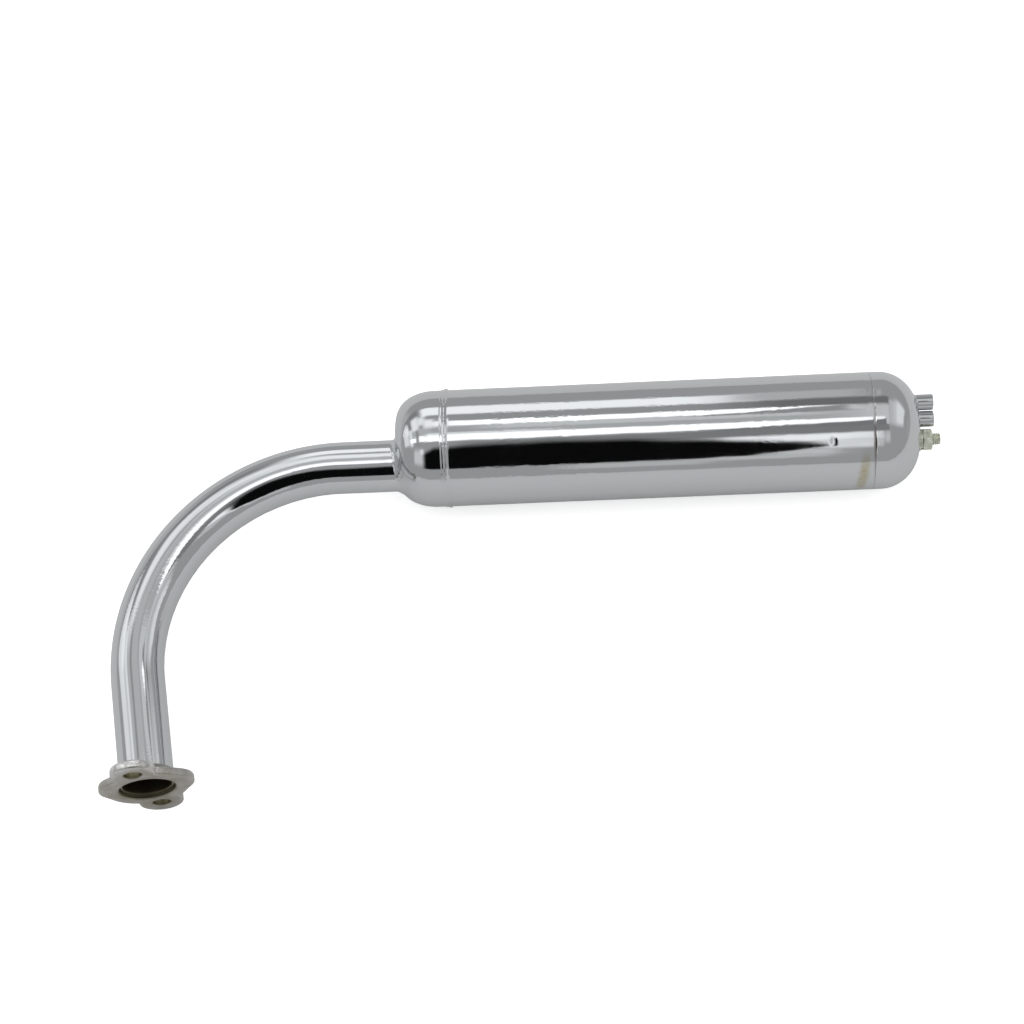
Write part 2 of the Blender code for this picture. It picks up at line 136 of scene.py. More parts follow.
class Shape:
    """Points and faces of one piece while it is made, in millimetres from the zero."""

    def __init__(self) -> None:
        """Start with nothing."""
        self.points: list[np.ndarray] = []
        self.faces: list[tuple[int, ...]] = []
        self.marks: dict[Mark, list[np.ndarray]] = {}
        self.count = 0

    def add_rings(
        self,
        rings: np.ndarray,
        loop: bool = True,
        fill: bool = False,
        marks: Mapping[Mark, np.ndarray] | None = None,
    ) -> Shape:
        """Lay quads over rings of points, each ring closed on itself.

        Args:
            rings: points as (ring, place round it, xyz).
            loop: whether the last ring joins the first.
            fill: whether the first and the last ring are closed with one face each.
            marks: values for the material, each of a shape that fits (ring, place).

        Returns:
            This shape.
        """
        rows, around = rings.shape[:2]
        first = self.count
        row = np.arange(rows if loop else rows - 1)[:, None]
        place = np.arange(around)[None, :]
        here = first + row * around
        ahead = first + ((row + 1) % rows) * around
        beside = (place + 1) % around
        quads = np.stack([here + place, here + beside, ahead + beside, ahead + place], axis=-1)
        self.faces += [tuple(quad) for quad in quads.reshape(-1, 4).tolist()]
        if fill:
            self.faces.append(tuple(range(first, first + around)))
            last = first + (rows - 1) * around
            self.faces.append(tuple(range(last, last + around)))
        self.points.append(rings.reshape(-1, 3))
        given = dict(marks or {})
        for mark in set(given) | set(self.marks):
            earlier = self.marks.setdefault(mark, [np.zeros(self.count)])
            value = np.broadcast_to(given.get(mark, np.zeros(1)), (rows, around))
            earlier.append(np.array(value, float).reshape(-1))
        self.count += rows * around
        return self

    def to_object(self, name: str, sharp: float = 32.0) -> bpy.types.Object:
        """Make the mesh object.

        Args:
            name: the object's name.
            sharp: the angle in degrees above which an edge stays sharp.

        Returns:
            The object, linked to the scene.
        """
        mesh = bpy.data.meshes.new(name)
        mesh.from_pydata(DATUM.place(np.concatenate(self.points)), [], self.faces)
        for mark, values in self.marks.items():
            layer = mesh.attributes.new(mark.value, "FLOAT", "POINT")
            layer.data.foreach_set("value", np.concatenate(values).astype(np.float32))
        draft = bmesh.new()
        draft.from_mesh(mesh)
        bmesh.ops.remove_doubles(draft, verts=draft.verts, dist=2e-7)
        bmesh.ops.recalc_face_normals(draft, faces=draft.faces)
        draft.to_mesh(mesh)
        draft.free()
        shade(mesh, sharp)
        obj = bpy.data.objects.new(name, mesh)
        bpy.context.scene.collection.objects.link(obj)
        return obj


def shade(mesh: bpy.types.Mesh, sharp: float) -> None:
    """Shade a mesh smooth, with edges above this angle in degrees left sharp."""
    mesh.shade_smooth()
    mesh.set_sharp_from_angle(angle=math.radians(sharp))


def cut(piece: bpy.types.Object, cutter: Shape, sharp: float = 32.0) -> None:
    """Cut a closed shape out of a piece and keep the result as its mesh.

    Args:
        piece: the piece.
        cutter: what is taken away, as one or more closed shapes that don't meet.
        sharp: the angle in degrees above which an edge stays sharp.
    """
    tool = cutter.to_object(f"{piece.name}_cutter")
    boolean = piece.modifiers.new("cut", "BOOLEAN")
    boolean.operation = "DIFFERENCE"
    boolean.object = tool
    bpy.context.view_layer.update()
    graph = bpy.context.evaluated_depsgraph_get()
    done = bpy.data.meshes.new_from_object(piece.evaluated_get(graph))
    piece.modifiers.clear()
    spent = piece.data
    piece.data = done
    bpy.data.meshes.remove(spent)
    bpy.data.objects.remove(tool, do_unlink=True)
    shade(piece.data, sharp)


def soften_edges(piece: bpy.types.Object, width: float, segments: int = 2) -> None:
    """Round a piece's sharp edges.

    Args:
        piece: the piece.
        width: the rounding in millimetres.
        segments: steps across the rounding.
    """
    bevel = piece.modifiers.new("worn_edges", "BEVEL")
    bevel.width = width * MM
    bevel.segments = segments
    bevel.limit_method = "ANGLE"
    bevel.angle_limit = math.radians(25)
    bevel.harden_normals = True


def turns(sides: int) -> np.ndarray:
    """Return this many angles round a full turn, from +Z towards -Y."""
    return np.arange(sides) * FULL_TURN / sides


def around(
    x: np.ndarray | float,
    radius: np.ndarray | float,
    angle: np.ndarray,
    centre: tuple[float, float] = (0.0, 0.0),
) -> np.ndarray:
    """Points round a line along X.

    Args:
        x: places along the line.
        radius: distances from the line.
        angle: turns round it, in radians.
        centre: (y, z) of the line.

    Returns:
        The points, with xyz as the last axis.
    """
    y = centre[0] - radius * np.sin(angle)
    z = centre[1] + radius * np.cos(angle)
    return np.stack(np.broadcast_arrays(x, y, z), axis=-1)


def turned(
    profile: Sequence[tuple[float, float]] | np.ndarray,
    sides: int,
    centre: tuple[float, float] = (0.0, 0.0),
    shift: Shift | None = None,
) -> np.ndarray:
    """Rings of a body turned about a line along X.

    Args:
        profile: (x, radius) points.
        sides: points round each ring.
        centre: (y, z) of the line.
        shift: change of radius at (x, angle), if the body isn't quite round.

    Returns:
        Points as (ring, place round it, xyz).
    """
    outline = np.asarray(profile, float)
    along = np.broadcast_to(outline[:, :1], (len(outline), sides))
    angle = np.broadcast_to(turns(sides)[None, :], along.shape)
    radius = np.broadcast_to(outline[:, 1:], along.shape).copy()
    if shift is not None:
        radius = radius + shift(along, angle)
    return around(along, radius, angle, centre)


def rounded_outline(corners: Sequence[tuple[float, float, float]], steps: int = 4) -> np.ndarray:
    """A closed outline with rounded corners.

    Args:
        corners: (x, y, rounding) of each corner in turn.
        steps: steps across each rounding.

    Returns:
        Points as (place, xy).
    """
    points = []
    count = len(corners)
    for i, (x, y, rounding) in enumerate(corners):
        here = np.array([x, y])
        if rounding <= 0:
            points.append(here)
            continue
        back = np.array(corners[i - 1][:2]) - here
        ahead = np.array(corners[(i + 1) % count][:2]) - here
        back /= np.linalg.norm(back)
        ahead /= np.linalg.norm(ahead)
        half = math.acos(float(np.clip(back @ ahead, -1, 1))) / 2
        middle = (back + ahead) / np.linalg.norm(back + ahead)
        centre = here + middle * rounding / math.sin(half)
        start = back * rounding / math.tan(half) + here - centre
        end = ahead * rounding / math.tan(half) + here - centre
        swing = math.atan2(start[0] * end[1] - start[1] * end[0], float(start @ end))
        for step in range(steps + 1):
            turn = swing * step / steps
            spin = np.array([[math.cos(turn), -math.sin(turn)], [math.sin(turn), math.cos(turn)]])
            points.append(centre + spin @ start)
    return np.array(points)


def tube_section(
    span: tuple[float, float], outer: float, bore: float, roundings: tuple[float, float, float, float]
) -> np.ndarray:
    """The section of a tube's or a washer's wall.

    Args:
        span: x of its start and of its end.
        outer: the outer radius.
        bore: the inner radius.
        roundings: at the outer end, the outer start, the inner start and the inner end.

    Returns:
        A closed outline of (x, radius) points.
    """
    start, end = span
    corners = ((end, outer), (start, outer), (start, bore), (end, bore))
    return rounded_outline([(*corner, rounding) for corner, rounding in zip(corners, roundings)])


def spread(outline: np.ndarray, spacing: float) -> np.ndarray:
    """Add points to a closed outline so that none of its steps is longer than spacing.

    Args:
        outline: points as (place, xy).
        spacing: the longest step.

    Returns:
        The outline with its added points.
    """
    points = []
    for here, ahead in zip(outline, np.roll(outline, -1, axis=0)):
        pieces = max(1, math.ceil(float(np.linalg.norm(ahead - here)) / spacing))
        points += [here + (ahead - here) * i / pieces for i in range(pieces)]
    return np.array(points)


def near(value: np.ndarray | float, middle: float, width: float) -> np.ndarray:
    """Return a bell curve of height 1 round this middle."""
    return np.exp(-(((value - middle) / width) ** 2))


def turn_between(angle: np.ndarray, middle: float) -> np.ndarray:
    """Return how far an angle is from a middle, the short way round, in radians."""
    return (angle - middle + math.pi) % FULL_TURN - math.pi


def ramp(value: np.ndarray, start: float, end: float) -> np.ndarray:
    """Return a smooth step from 0 at start to 1 at end."""
    share = np.clip((value - start) / (end - start), 0, 1)
    return share * share * (3 - 2 * share)


@dataclass(frozen=True)
class PressedEnd:
    """The outside of a pressed end: a flat middle and a round corner."""

    flat: float
    outer: float
    length: float
    power: float

    def depth(self, radius: np.ndarray) -> np.ndarray:
        """Return how far behind the end's face the surface lies at this radius."""
        share = np.clip((np.asarray(radius, float) - self.flat) / (self.outer - self.flat), 0, 1)
        return self.length * (1 - (1 - share**self.power) ** (1 / self.power))

    def inside(self, wall: float, outer: float) -> PressedEnd:
        """Return the inner surface of this end for a wall this thick and an outer radius."""
        return PressedEnd(self.flat - wall / 2, outer, self.length - wall, self.power)

    def corner(self, steps: int) -> list[tuple[float, float]]:
        """Return (depth, radius) points down the corner.

        Args:
            steps: steps down the corner.

        Returns:
            The points, from the flat middle outwards.
        """
        points = []
        for i in range(steps + 1):
            turn = math.pi / 2 * i / steps
            radius = self.flat + (self.outer - self.flat) * math.sin(turn) ** (2 / self.power)
            points.append((self.length * (1 - math.cos(turn) ** (2 / self.power)), radius))
        return points


@dataclass(frozen=True)
class WeldRipple:
    """The overlapping scallops that a weld pool leaves, with a welder's unevenness."""

    scallops: int
    height: float
    drift: float
    seed: int = SEED

    def at(self, angle: np.ndarray) -> np.ndarray:
        """Return the change of height round the weld, in millimetres.

        Args:
            angle: places round the weld, in radians.

        Returns:
            The change of height at each place.
        """
        draw = np.random.default_rng(self.seed)
        wander = np.zeros_like(angle)
        for waves in (2, 3, 5, 9, 14, 26, 43):
            wander += np.sin(waves * angle + draw.uniform(0, FULL_TURN)) / waves**0.5
        pulse = self.scallops * angle / 2 + 0.5 * np.sin(3 * angle + draw.uniform(0, FULL_TURN))
        return self.height * (np.abs(np.sin(pulse)) ** 0.6 - 0.6) + self.drift * wander / 2


# ------------------------------------------------------------------------ materials


def linear(colour: str) -> tuple[float, float, float, float]:
    """Return an sRGB hex colour as linear red, green, blue and an alpha of 1.

    Args:
        colour: the colour as a hash sign and six hex digits.

    Returns:
        Red, green, blue and alpha.
    """
    parts = [int(colour[i : i + 2], 16) / 255 for i in (1, 3, 5)]
    red, green, blue = (v / 12.92 if v <= 0.04045 else ((v + 0.055) / 1.055) ** 2.4 for v in parts)
    return red, green, blue, 1.0


def per_metre(size: float) -> float:
    """Return the texture scale that makes a pattern's features this many millimetres."""
    return 1 / (size * MM)


def add_node(
    tree: bpy.types.NodeTree,
    kind: str,
    settings: Mapping[str | int, object] | None = None,
    links: Mapping[str | int, bpy.types.NodeSocket] | None = None,
) -> bpy.types.Node:
    """Add a node with its settings and links.

    Args:
        tree: the node tree.
        kind: the node's type.
        settings: values by property name, or by an input's name or number.
        links: the output that feeds each input, by its name or number.

    Returns:
        The node.
    """
    made = tree.nodes.new(kind)
    for key, value in (settings or {}).items():
        if isinstance(key, str) and hasattr(made, key):
            setattr(made, key, value)
        else:
            made.inputs[key].default_value = value
    for key, output in (links or {}).items():
        tree.links.new(output, made.inputs[key])
    return made


@dataclass
class NodeBench:
    """One material's node tree, with the few moves that its finish repeats."""

    name: str
    tree: bpy.types.NodeTree = field(init=False)
    shader: bpy.types.Node = field(init=False)
    material: bpy.types.Material = field(init=False)
    place: bpy.types.NodeSocket = field(init=False)

    def __post_init__(self) -> None:
        """Start the material with its shader and its coordinates in metres."""
        self.material = bpy.data.materials.new(self.name)
        self.material.use_nodes = True
        self.tree = self.material.node_tree
        self.shader = self.tree.nodes["Principled BSDF"]
        self.place = add_node(self.tree, "ShaderNodeTexCoord").outputs["Object"]

    def noise(self, size: float, detail: float = 2.0, stretch: float = 1.0) -> bpy.types.NodeSocket:
        """Return noise with features of this many millimetres, longer along X by stretch.

        Args:
            size: the features' size in millimetres.
            detail: how many finer layers it has.
            stretch: how many times longer the features are along X.

        Returns:
            The noise, from 0 to 1.
        """
        scaled = add_node(
            self.tree, "ShaderNodeMapping", {"Scale": (1 / stretch, 1, 1)}, {"Vector": self.place}
        )
        made = add_node(
            self.tree,
            "ShaderNodeTexNoise",
            {"Scale": per_metre(size), "Detail": detail},
            {"Vector": scaled.outputs[0]},
        )
        return made.outputs["Fac"]

    def mark(self, mark: Mark) -> bpy.types.NodeSocket:
        """Return a value that the mesh carries."""
        return add_node(self.tree, "ShaderNodeAttribute", {"attribute_name": mark.value}).outputs["Fac"]

    def between(
        self, value: bpy.types.NodeSocket, low: float, high: float, start: float = 0.0, end: float = 1.0
    ) -> bpy.types.NodeSocket:
        """Return a value that runs from start to end while the input runs from low to high.

        Args:
            value: the input.
            low: the input where the result is start.
            high: the input where the result is end.
            start: the first result.
            end: the last result.

        Returns:
            The result, held at start and end beyond them.
        """
        made = add_node(
            self.tree,
            "ShaderNodeMapRange",
            {"From Min": low, "From Max": high, "To Min": start, "To Max": end},
            {"Value": value},
        )
        return made.outputs[0]

    def times(
        self, first: bpy.types.NodeSocket, second: bpy.types.NodeSocket | float
    ) -> bpy.types.NodeSocket:
        """Return a product.

        Args:
            first: one factor.
            second: the other, as an output or a number.

        Returns:
            The product.
        """
        made = add_node(self.tree, "ShaderNodeMath", {"operation": "MULTIPLY"}, {0: first})
        if isinstance(second, float):
            made.inputs[1].default_value = second
        else:
            self.tree.links.new(second, made.inputs[1])
        return made.outputs[0]

    def tint(
        self, share: bpy.types.NodeSocket, first: bpy.types.NodeSocket | str, second: str
    ) -> bpy.types.NodeSocket:
        """Return a colour that goes from the first to the second as share goes from 0 to 1.

        Args:
            share: the share of the second colour.
            first: an output or a hex colour.
            second: a hex colour.

        Returns:
            The mixed colour.
        """
        made = add_node(self.tree, "ShaderNodeMix", {"data_type": "RGBA"}, {"Factor": share})
        if isinstance(first, str):
            made.inputs[6].default_value = linear(first)
        else:
            self.tree.links.new(first, made.inputs[6])
        made.inputs[7].default_value = linear(second)
        return made.outputs[2]

    def blend(
        self, share: bpy.types.NodeSocket, first: bpy.types.NodeSocket | float, second: float
    ) -> bpy.types.NodeSocket:
        """Return a value that goes from the first to the second as share goes from 0 to 1.

        Args:
            share: the share of the second value.
            first: an output or a number.
            second: a number.

        Returns:
            The mixed value.
        """
        made = add_node(self.tree, "ShaderNodeMix", {"data_type": "FLOAT"}, {"Factor": share})
        if isinstance(first, float):
            made.inputs[2].default_value = first
        else:
            self.tree.links.new(first, made.inputs[2])
        made.inputs[3].default_value = second
        return made.outputs[0]

    def relief(
        self, height: bpy.types.NodeSocket, depth: float, under: bpy.types.NodeSocket | None = None
    ) -> bpy.types.NodeSocket:
        """Return a normal for relief of this depth in millimetres, over earlier relief.

        Args:
            height: the relief, from 0 to 1.
            depth: its depth in millimetres.
            under: the normal of earlier relief.

        Returns:
            The normal.
        """
        links = {"Height": height}
        if under is not None:
            links["Normal"] = under
        made = add_node(self.tree, "ShaderNodeBump", {"Distance": depth * MM, "Strength": 1.0}, links)
        return made.outputs["Normal"]

    def finish(
        self,
        colour: bpy.types.NodeSocket,
        roughness: bpy.types.NodeSocket,
        normal: bpy.types.NodeSocket,
        metallic: float = 1.0,
    ) -> bpy.types.Material:
        """Feed the shader and return the material.

        Args:
            colour: the base colour.
            roughness: the roughness.
            normal: the normal of the relief.
            metallic: how metallic the surface is, from 0 to 1.

        Returns:
            The material.
        """
        self.tree.links.new(colour, self.shader.inputs["Base Color"])
        self.tree.links.new(roughness, self.shader.inputs["Roughness"])
        self.tree.links.new(normal, self.shader.inputs["Normal"])
        self.shader.inputs["Metallic"].default_value = metallic
        return self.material


@dataclass(frozen=True)
class ChromePlate:
    """Bright chrome, electroplated over polished steel tube and pressings.

    A cool mirror. The polishing wheel leaves a faint long ripple and a fine grain that
    frays the edges of reflections, and heat and oil leave a straw tint by the rear seam.
    """

    name: str = "bright_chrome_plate"
    colour: str = "#D6D9DB"
    straw: str = "#B5A67A"
    rust: str = "#6A4630"
    soot: str = "#5F5746"
    polished: float = 0.035
    hazed: float = 0.10
    sooty: float = 0.48
    wheel_ripple: float = 7.0
    wheel_stretch: float = 7.0
    wheel_depth: float = 0.012
    grain: float = 1.4
    grain_depth: float = 0.032
    grain_patch: float = 34.0

    def material(self) -> bpy.types.Material:
        """Build the node material."""
        bench = NodeBench(self.name)
        inside = bench.mark(Mark.INSIDE)
        stain = bench.times(bench.mark(Mark.STAIN), bench.between(bench.noise(2.5), 0.3, 0.7, 0.5, 1.0))
        colour = bench.tint(stain, self.colour, self.straw)
        colour = bench.tint(bench.mark(Mark.RUST), colour, self.rust)
        colour = bench.tint(inside, colour, self.soot)
        haze = bench.between(bench.noise(18.0, 3.0), 0.35, 0.75, self.polished, self.hazed)
        roughness = bench.blend(bench.mark(Mark.RUST), haze, 0.5)
        roughness = bench.blend(inside, roughness, self.sooty)
        ripple = bench.relief(bench.noise(self.wheel_ripple, 2.0, self.wheel_stretch), self.wheel_depth)
        patches = bench.between(bench.noise(self.grain_patch, 1.0), 0.45, 0.60, 0.15, 1.0)
        grain = bench.times(bench.noise(self.grain, 1.5, 2.5), patches)
        grain = bench.relief(grain, self.grain_depth, ripple)
        return bench.finish(colour, roughness, grain)


@dataclass(frozen=True)
class TarnishedSteel:
    """Punched mild steel plate, plated thinly and dulled by handling and heat.

    Grey-brown and half matt on the face, with faint pits, and a painted near-white
    highlight along the edges, where it is also a little glossier.
    """

    name: str = "tarnished_mild_steel"
    colour: str = "#BDBBB7"
    bloom: str = "#A6A094"
    # Near-white colour of the painted edge highlight.
    highlight_colour: str = "#F2F3F3"
    rust: str = "#5E4A33"
    soot: str = "#857F66"
    matt: float = 0.42
    bright: float = 0.15

    def material(self) -> bpy.types.Material:
        """Build the node material."""
        bench = NodeBench(self.name)
        inside = bench.mark(Mark.INSIDE)
        # Painted highlight, broken up by noise, where the mesh carries it; the lower roughness there is the
        # finish.
        highlight_breakup = bench.between(bench.noise(1.6, 4.0), 0.3, 0.6, 0.35, 1.0)
        burnish = bench.times(bench.mark(Mark.PAINTED_HIGHLIGHT), highlight_breakup)
        colour = bench.tint(bench.between(bench.noise(9.0, 5.0), 0.38, 0.66), self.colour, self.bloom)
        spots = bench.between(bench.noise(3.2, 6.0), 0.64, 0.78, 0.0, 0.55)
        colour = bench.tint(spots, colour, self.rust)
        # Lay the painted near-white highlight over the steel's colour.
        colour = bench.tint(burnish, colour, self.highlight_colour)
        colour = bench.tint(inside, colour, self.soot)
        roughness = bench.between(bench.noise(4.0, 4.0), 0.3, 0.7, self.matt - 0.07, self.matt + 0.08)
        roughness = bench.blend(burnish, roughness, self.bright)
        pits = bench.relief(bench.noise(0.9, 4.0), 0.035)
        waves = bench.relief(bench.noise(5.0, 2.0), 0.05, pits)
        return bench.finish(colour, roughness, waves)


@dataclass(frozen=True)
class ZincPlate:
    """Zinc-plated turned and rolled steel with a yellow-green passivate.

    Satin, a little mottled, and darker where dirt sits. The passivate film is cloudy, so
    it is not wholly metallic.
    """

    name: str = "passivated_zinc_plate"
    colour: str = "#E2E5D8"
    mottle: str = "#BDC0B0"
    dirt: str = "#6B6750"
    satin: float = 0.26
    metallic: float = 0.72

    def material(self) -> bpy.types.Material:
        """Build the node material."""
        bench = NodeBench(self.name)
        colour = bench.tint(bench.between(bench.noise(2.4, 4.0), 0.35, 0.65), self.colour, self.mottle)
        colour = bench.tint(bench.between(bench.noise(1.2, 5.0), 0.64, 0.76, 0.0, 0.5), colour, self.dirt)
        roughness = bench.between(bench.noise(1.5, 3.0), 0.3, 0.7, self.satin - 0.06, self.satin + 0.14)
        return bench.finish(colour, roughness, bench.relief(bench.noise(0.6, 3.0), 0.012), self.metallic)


@dataclass(frozen=True)
class BareSteel:
    """Cold-rolled sheet and tube, uncoated, with a film of burnt two-stroke oil.

    Grey, softly glossy and drawn out along the rolling direction, with brown patches.
    """

    name: str = "cold_rolled_steel"
    colour: str = "#9A9B9C"
    oil: str = "#6B5B45"
    satin: float = 0.32

    def material(self) -> bpy.types.Material:
        """Build the node material."""
        bench = NodeBench(self.name)
        patches = bench.between(bench.noise(12.0, 4.0), 0.45, 0.68, 0.0, 0.8)
        colour = bench.tint(patches, self.colour, self.oil)
        colour = bench.tint(bench.mark(Mark.INSIDE), colour, self.oil)
        roughness = bench.between(bench.noise(6.0, 3.0), 0.3, 0.7, self.satin - 0.06, self.satin + 0.16)
        rolled = bench.relief(bench.noise(0.7, 2.0, 8.0), 0.006)
        return bench.finish(colour, roughness, rolled)


@dataclass(frozen=True)
class Finishes:
    """The exhaust's four materials."""

    chrome: bpy.types.Material
    tarnished: bpy.types.Material
    zinc: bpy.types.Material
    steel: bpy.types.Material

    @classmethod
    def make(cls) -> Finishes:
        """Build all four."""
        return cls(
            ChromePlate().material(),
            TarnishedSteel().material(),
            ZincPlate().material(),
            BareSteel().material(),
        )

    def of(self, slot: Slot) -> bpy.types.Material:
        """Return the material for a slot."""
        return {
            Slot.CHROME: self.chrome,
            Slot.TARNISHED: self.tarnished,
            Slot.ZINC: self.zinc,
            Slot.STEEL: self.steel,
        }[slot]


@dataclass(frozen=True)
class Dresser:
    """Gives a finished mesh the material of its slot and its body, and hides the CAD nodes it stands for."""

    finishes: Finishes

    def dress(self, piece: bpy.types.Object, slot: Slot, body: Body, *nodes: str) -> bpy.types.Object:
        """Dress one piece.

        Args:
            piece: the mesh object.
            slot: the material slot it takes its finish from.
            body: the body it moves with.
            nodes: the CAD nodes it stands for.

        Returns:
            The piece.
        """
        piece.data.materials.clear()
        piece.data.materials.append(self.finishes.of(slot))
        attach(piece, body.value)
        if nodes:
            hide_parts(*nodes)
        LOG.info("%s: %d faces on %s", piece.name, len(piece.data.polygons), body.value)
        return piece


# ---------------------------------------------------------------------- header pipe


@dataclass(frozen=True)
class HeaderPipe:
    """The tube that runs straight out of the dome, round the bend and to the flange."""

    radius: float = 12.7
    wall: float = 1.5
    offset_y: float = -9.2
    offset_z: float = 1.5
    inside_dome: float = 6.0
    straight: float = 27.3
    bend_radius: float = 96.0
    bend_angle: float = math.radians(97.7)
    lower_straight: float = 53.6
    setback: float = 2.0
    flattening: float = 0.10
    wrinkle: float = 0.035
    wrinkle_pitch: float = 8.0
    rim_rounding: float = 0.5
    sides: int = 112
    spacing: float = 1.4

    def line(self, along: np.ndarray) -> tuple[np.ndarray, np.ndarray, np.ndarray]:
        """Points and directions on the middle line.

        Args:
            along: distances from the end inside the dome, in millimetres.

        Returns:
            The points (x, y), the way forward and the way to the inside of the bend.
        """
        lead = self.inside_dome + self.straight
        arc = self.bend_radius * self.bend_angle
        turn = np.clip((along - lead) / self.bend_radius, 0, self.bend_angle)
        before = np.minimum(along, lead)
        after = np.maximum(along - lead - arc, 0)
        forward = np.stack([-np.cos(turn), -np.sin(turn)], axis=-1)
        inward = np.stack([np.sin(turn), -np.cos(turn)], axis=-1)
        x = self.inside_dome - before - self.bend_radius * np.sin(turn)
        y = self.offset_y - self.bend_radius * (1 - np.cos(turn))
        points = np.stack([x, y], axis=-1) + forward * after[:, None]
        return points, forward, inward

    def length(self) -> float:
        """Return the length from the end inside the dome to the flange's mating face."""
        return self.inside_dome + self.straight + self.bend_radius * self.bend_angle + self.lower_straight

    def end(self) -> tuple[np.ndarray, np.ndarray, np.ndarray]:
        """Return the mating face's middle, the way out of it and the way across it."""
        points, forward, inward = (rows[0] for rows in self.line(np.array([self.length()])))
        return np.array([*points, self.offset_z]), np.array([*forward, 0.0]), np.array([*inward, 0.0])

    def skin(self, along: np.ndarray, radius: np.ndarray) -> np.ndarray:
        """Rings round the middle line.

        Args:
            along: the distance of each ring.
            radius: its radius.

        Returns:
            Points as (ring, place round it, xyz), the first at the inside of the bend.
        """
        points, _, inward = self.line(along)
        angle = turns(self.sides)
        lead = self.inside_dome + self.straight
        arc = self.bend_radius * self.bend_angle
        bent = ramp(along, lead - 6, lead + 14) * (1 - ramp(along, lead + arc - 14, lead + arc + 6))
        flat = self.flattening * bent[:, None] * np.cos(angle)[None, :] ** 2
        folds = np.sin(FULL_TURN * along / self.wrinkle_pitch) * bent
        inner = np.clip(np.cos(angle), 0, 1) ** 5
        shape = radius[:, None] - flat + self.wrinkle * folds[:, None] * inner[None, :]
        in_plane = shape * np.cos(angle)
        flank = inward[:, None, :] * in_plane[..., None]
        up = self.offset_z + shape * np.sin(angle)
        return np.concatenate([points[:, None, :] + flank, up[..., None]], axis=-1)

    def build(self, dresser: Dresser) -> None:
        """Make the tube with its bore and its rounded rims.

        Args:
            dresser: gives each piece the finish of its slot and its body.
        """
        last = self.length() - self.setback
        bore = self.radius - self.wall
        section = rounded_outline(
            [
                (0.0, self.radius, self.rim_rounding),
                (last, self.radius, self.rim_rounding),
                (last, bore, self.rim_rounding),
                (0.0, bore, self.rim_rounding),
            ],
            3,
        )
        section = spread(section, self.spacing)
        along, radius = section[:, 0], section[:, 1]
        inner = (radius < self.radius - self.rim_rounding - 0.01)[:, None]
        rings = self.skin(along, radius)
        shape = Shape().add_rings(rings, marks={Mark.INSIDE: inner.astype(float)})
        dresser.dress(shape.to_object("bent_header_pipe"), Slot.CHROME, Body.CANISTER, "header_pipe")


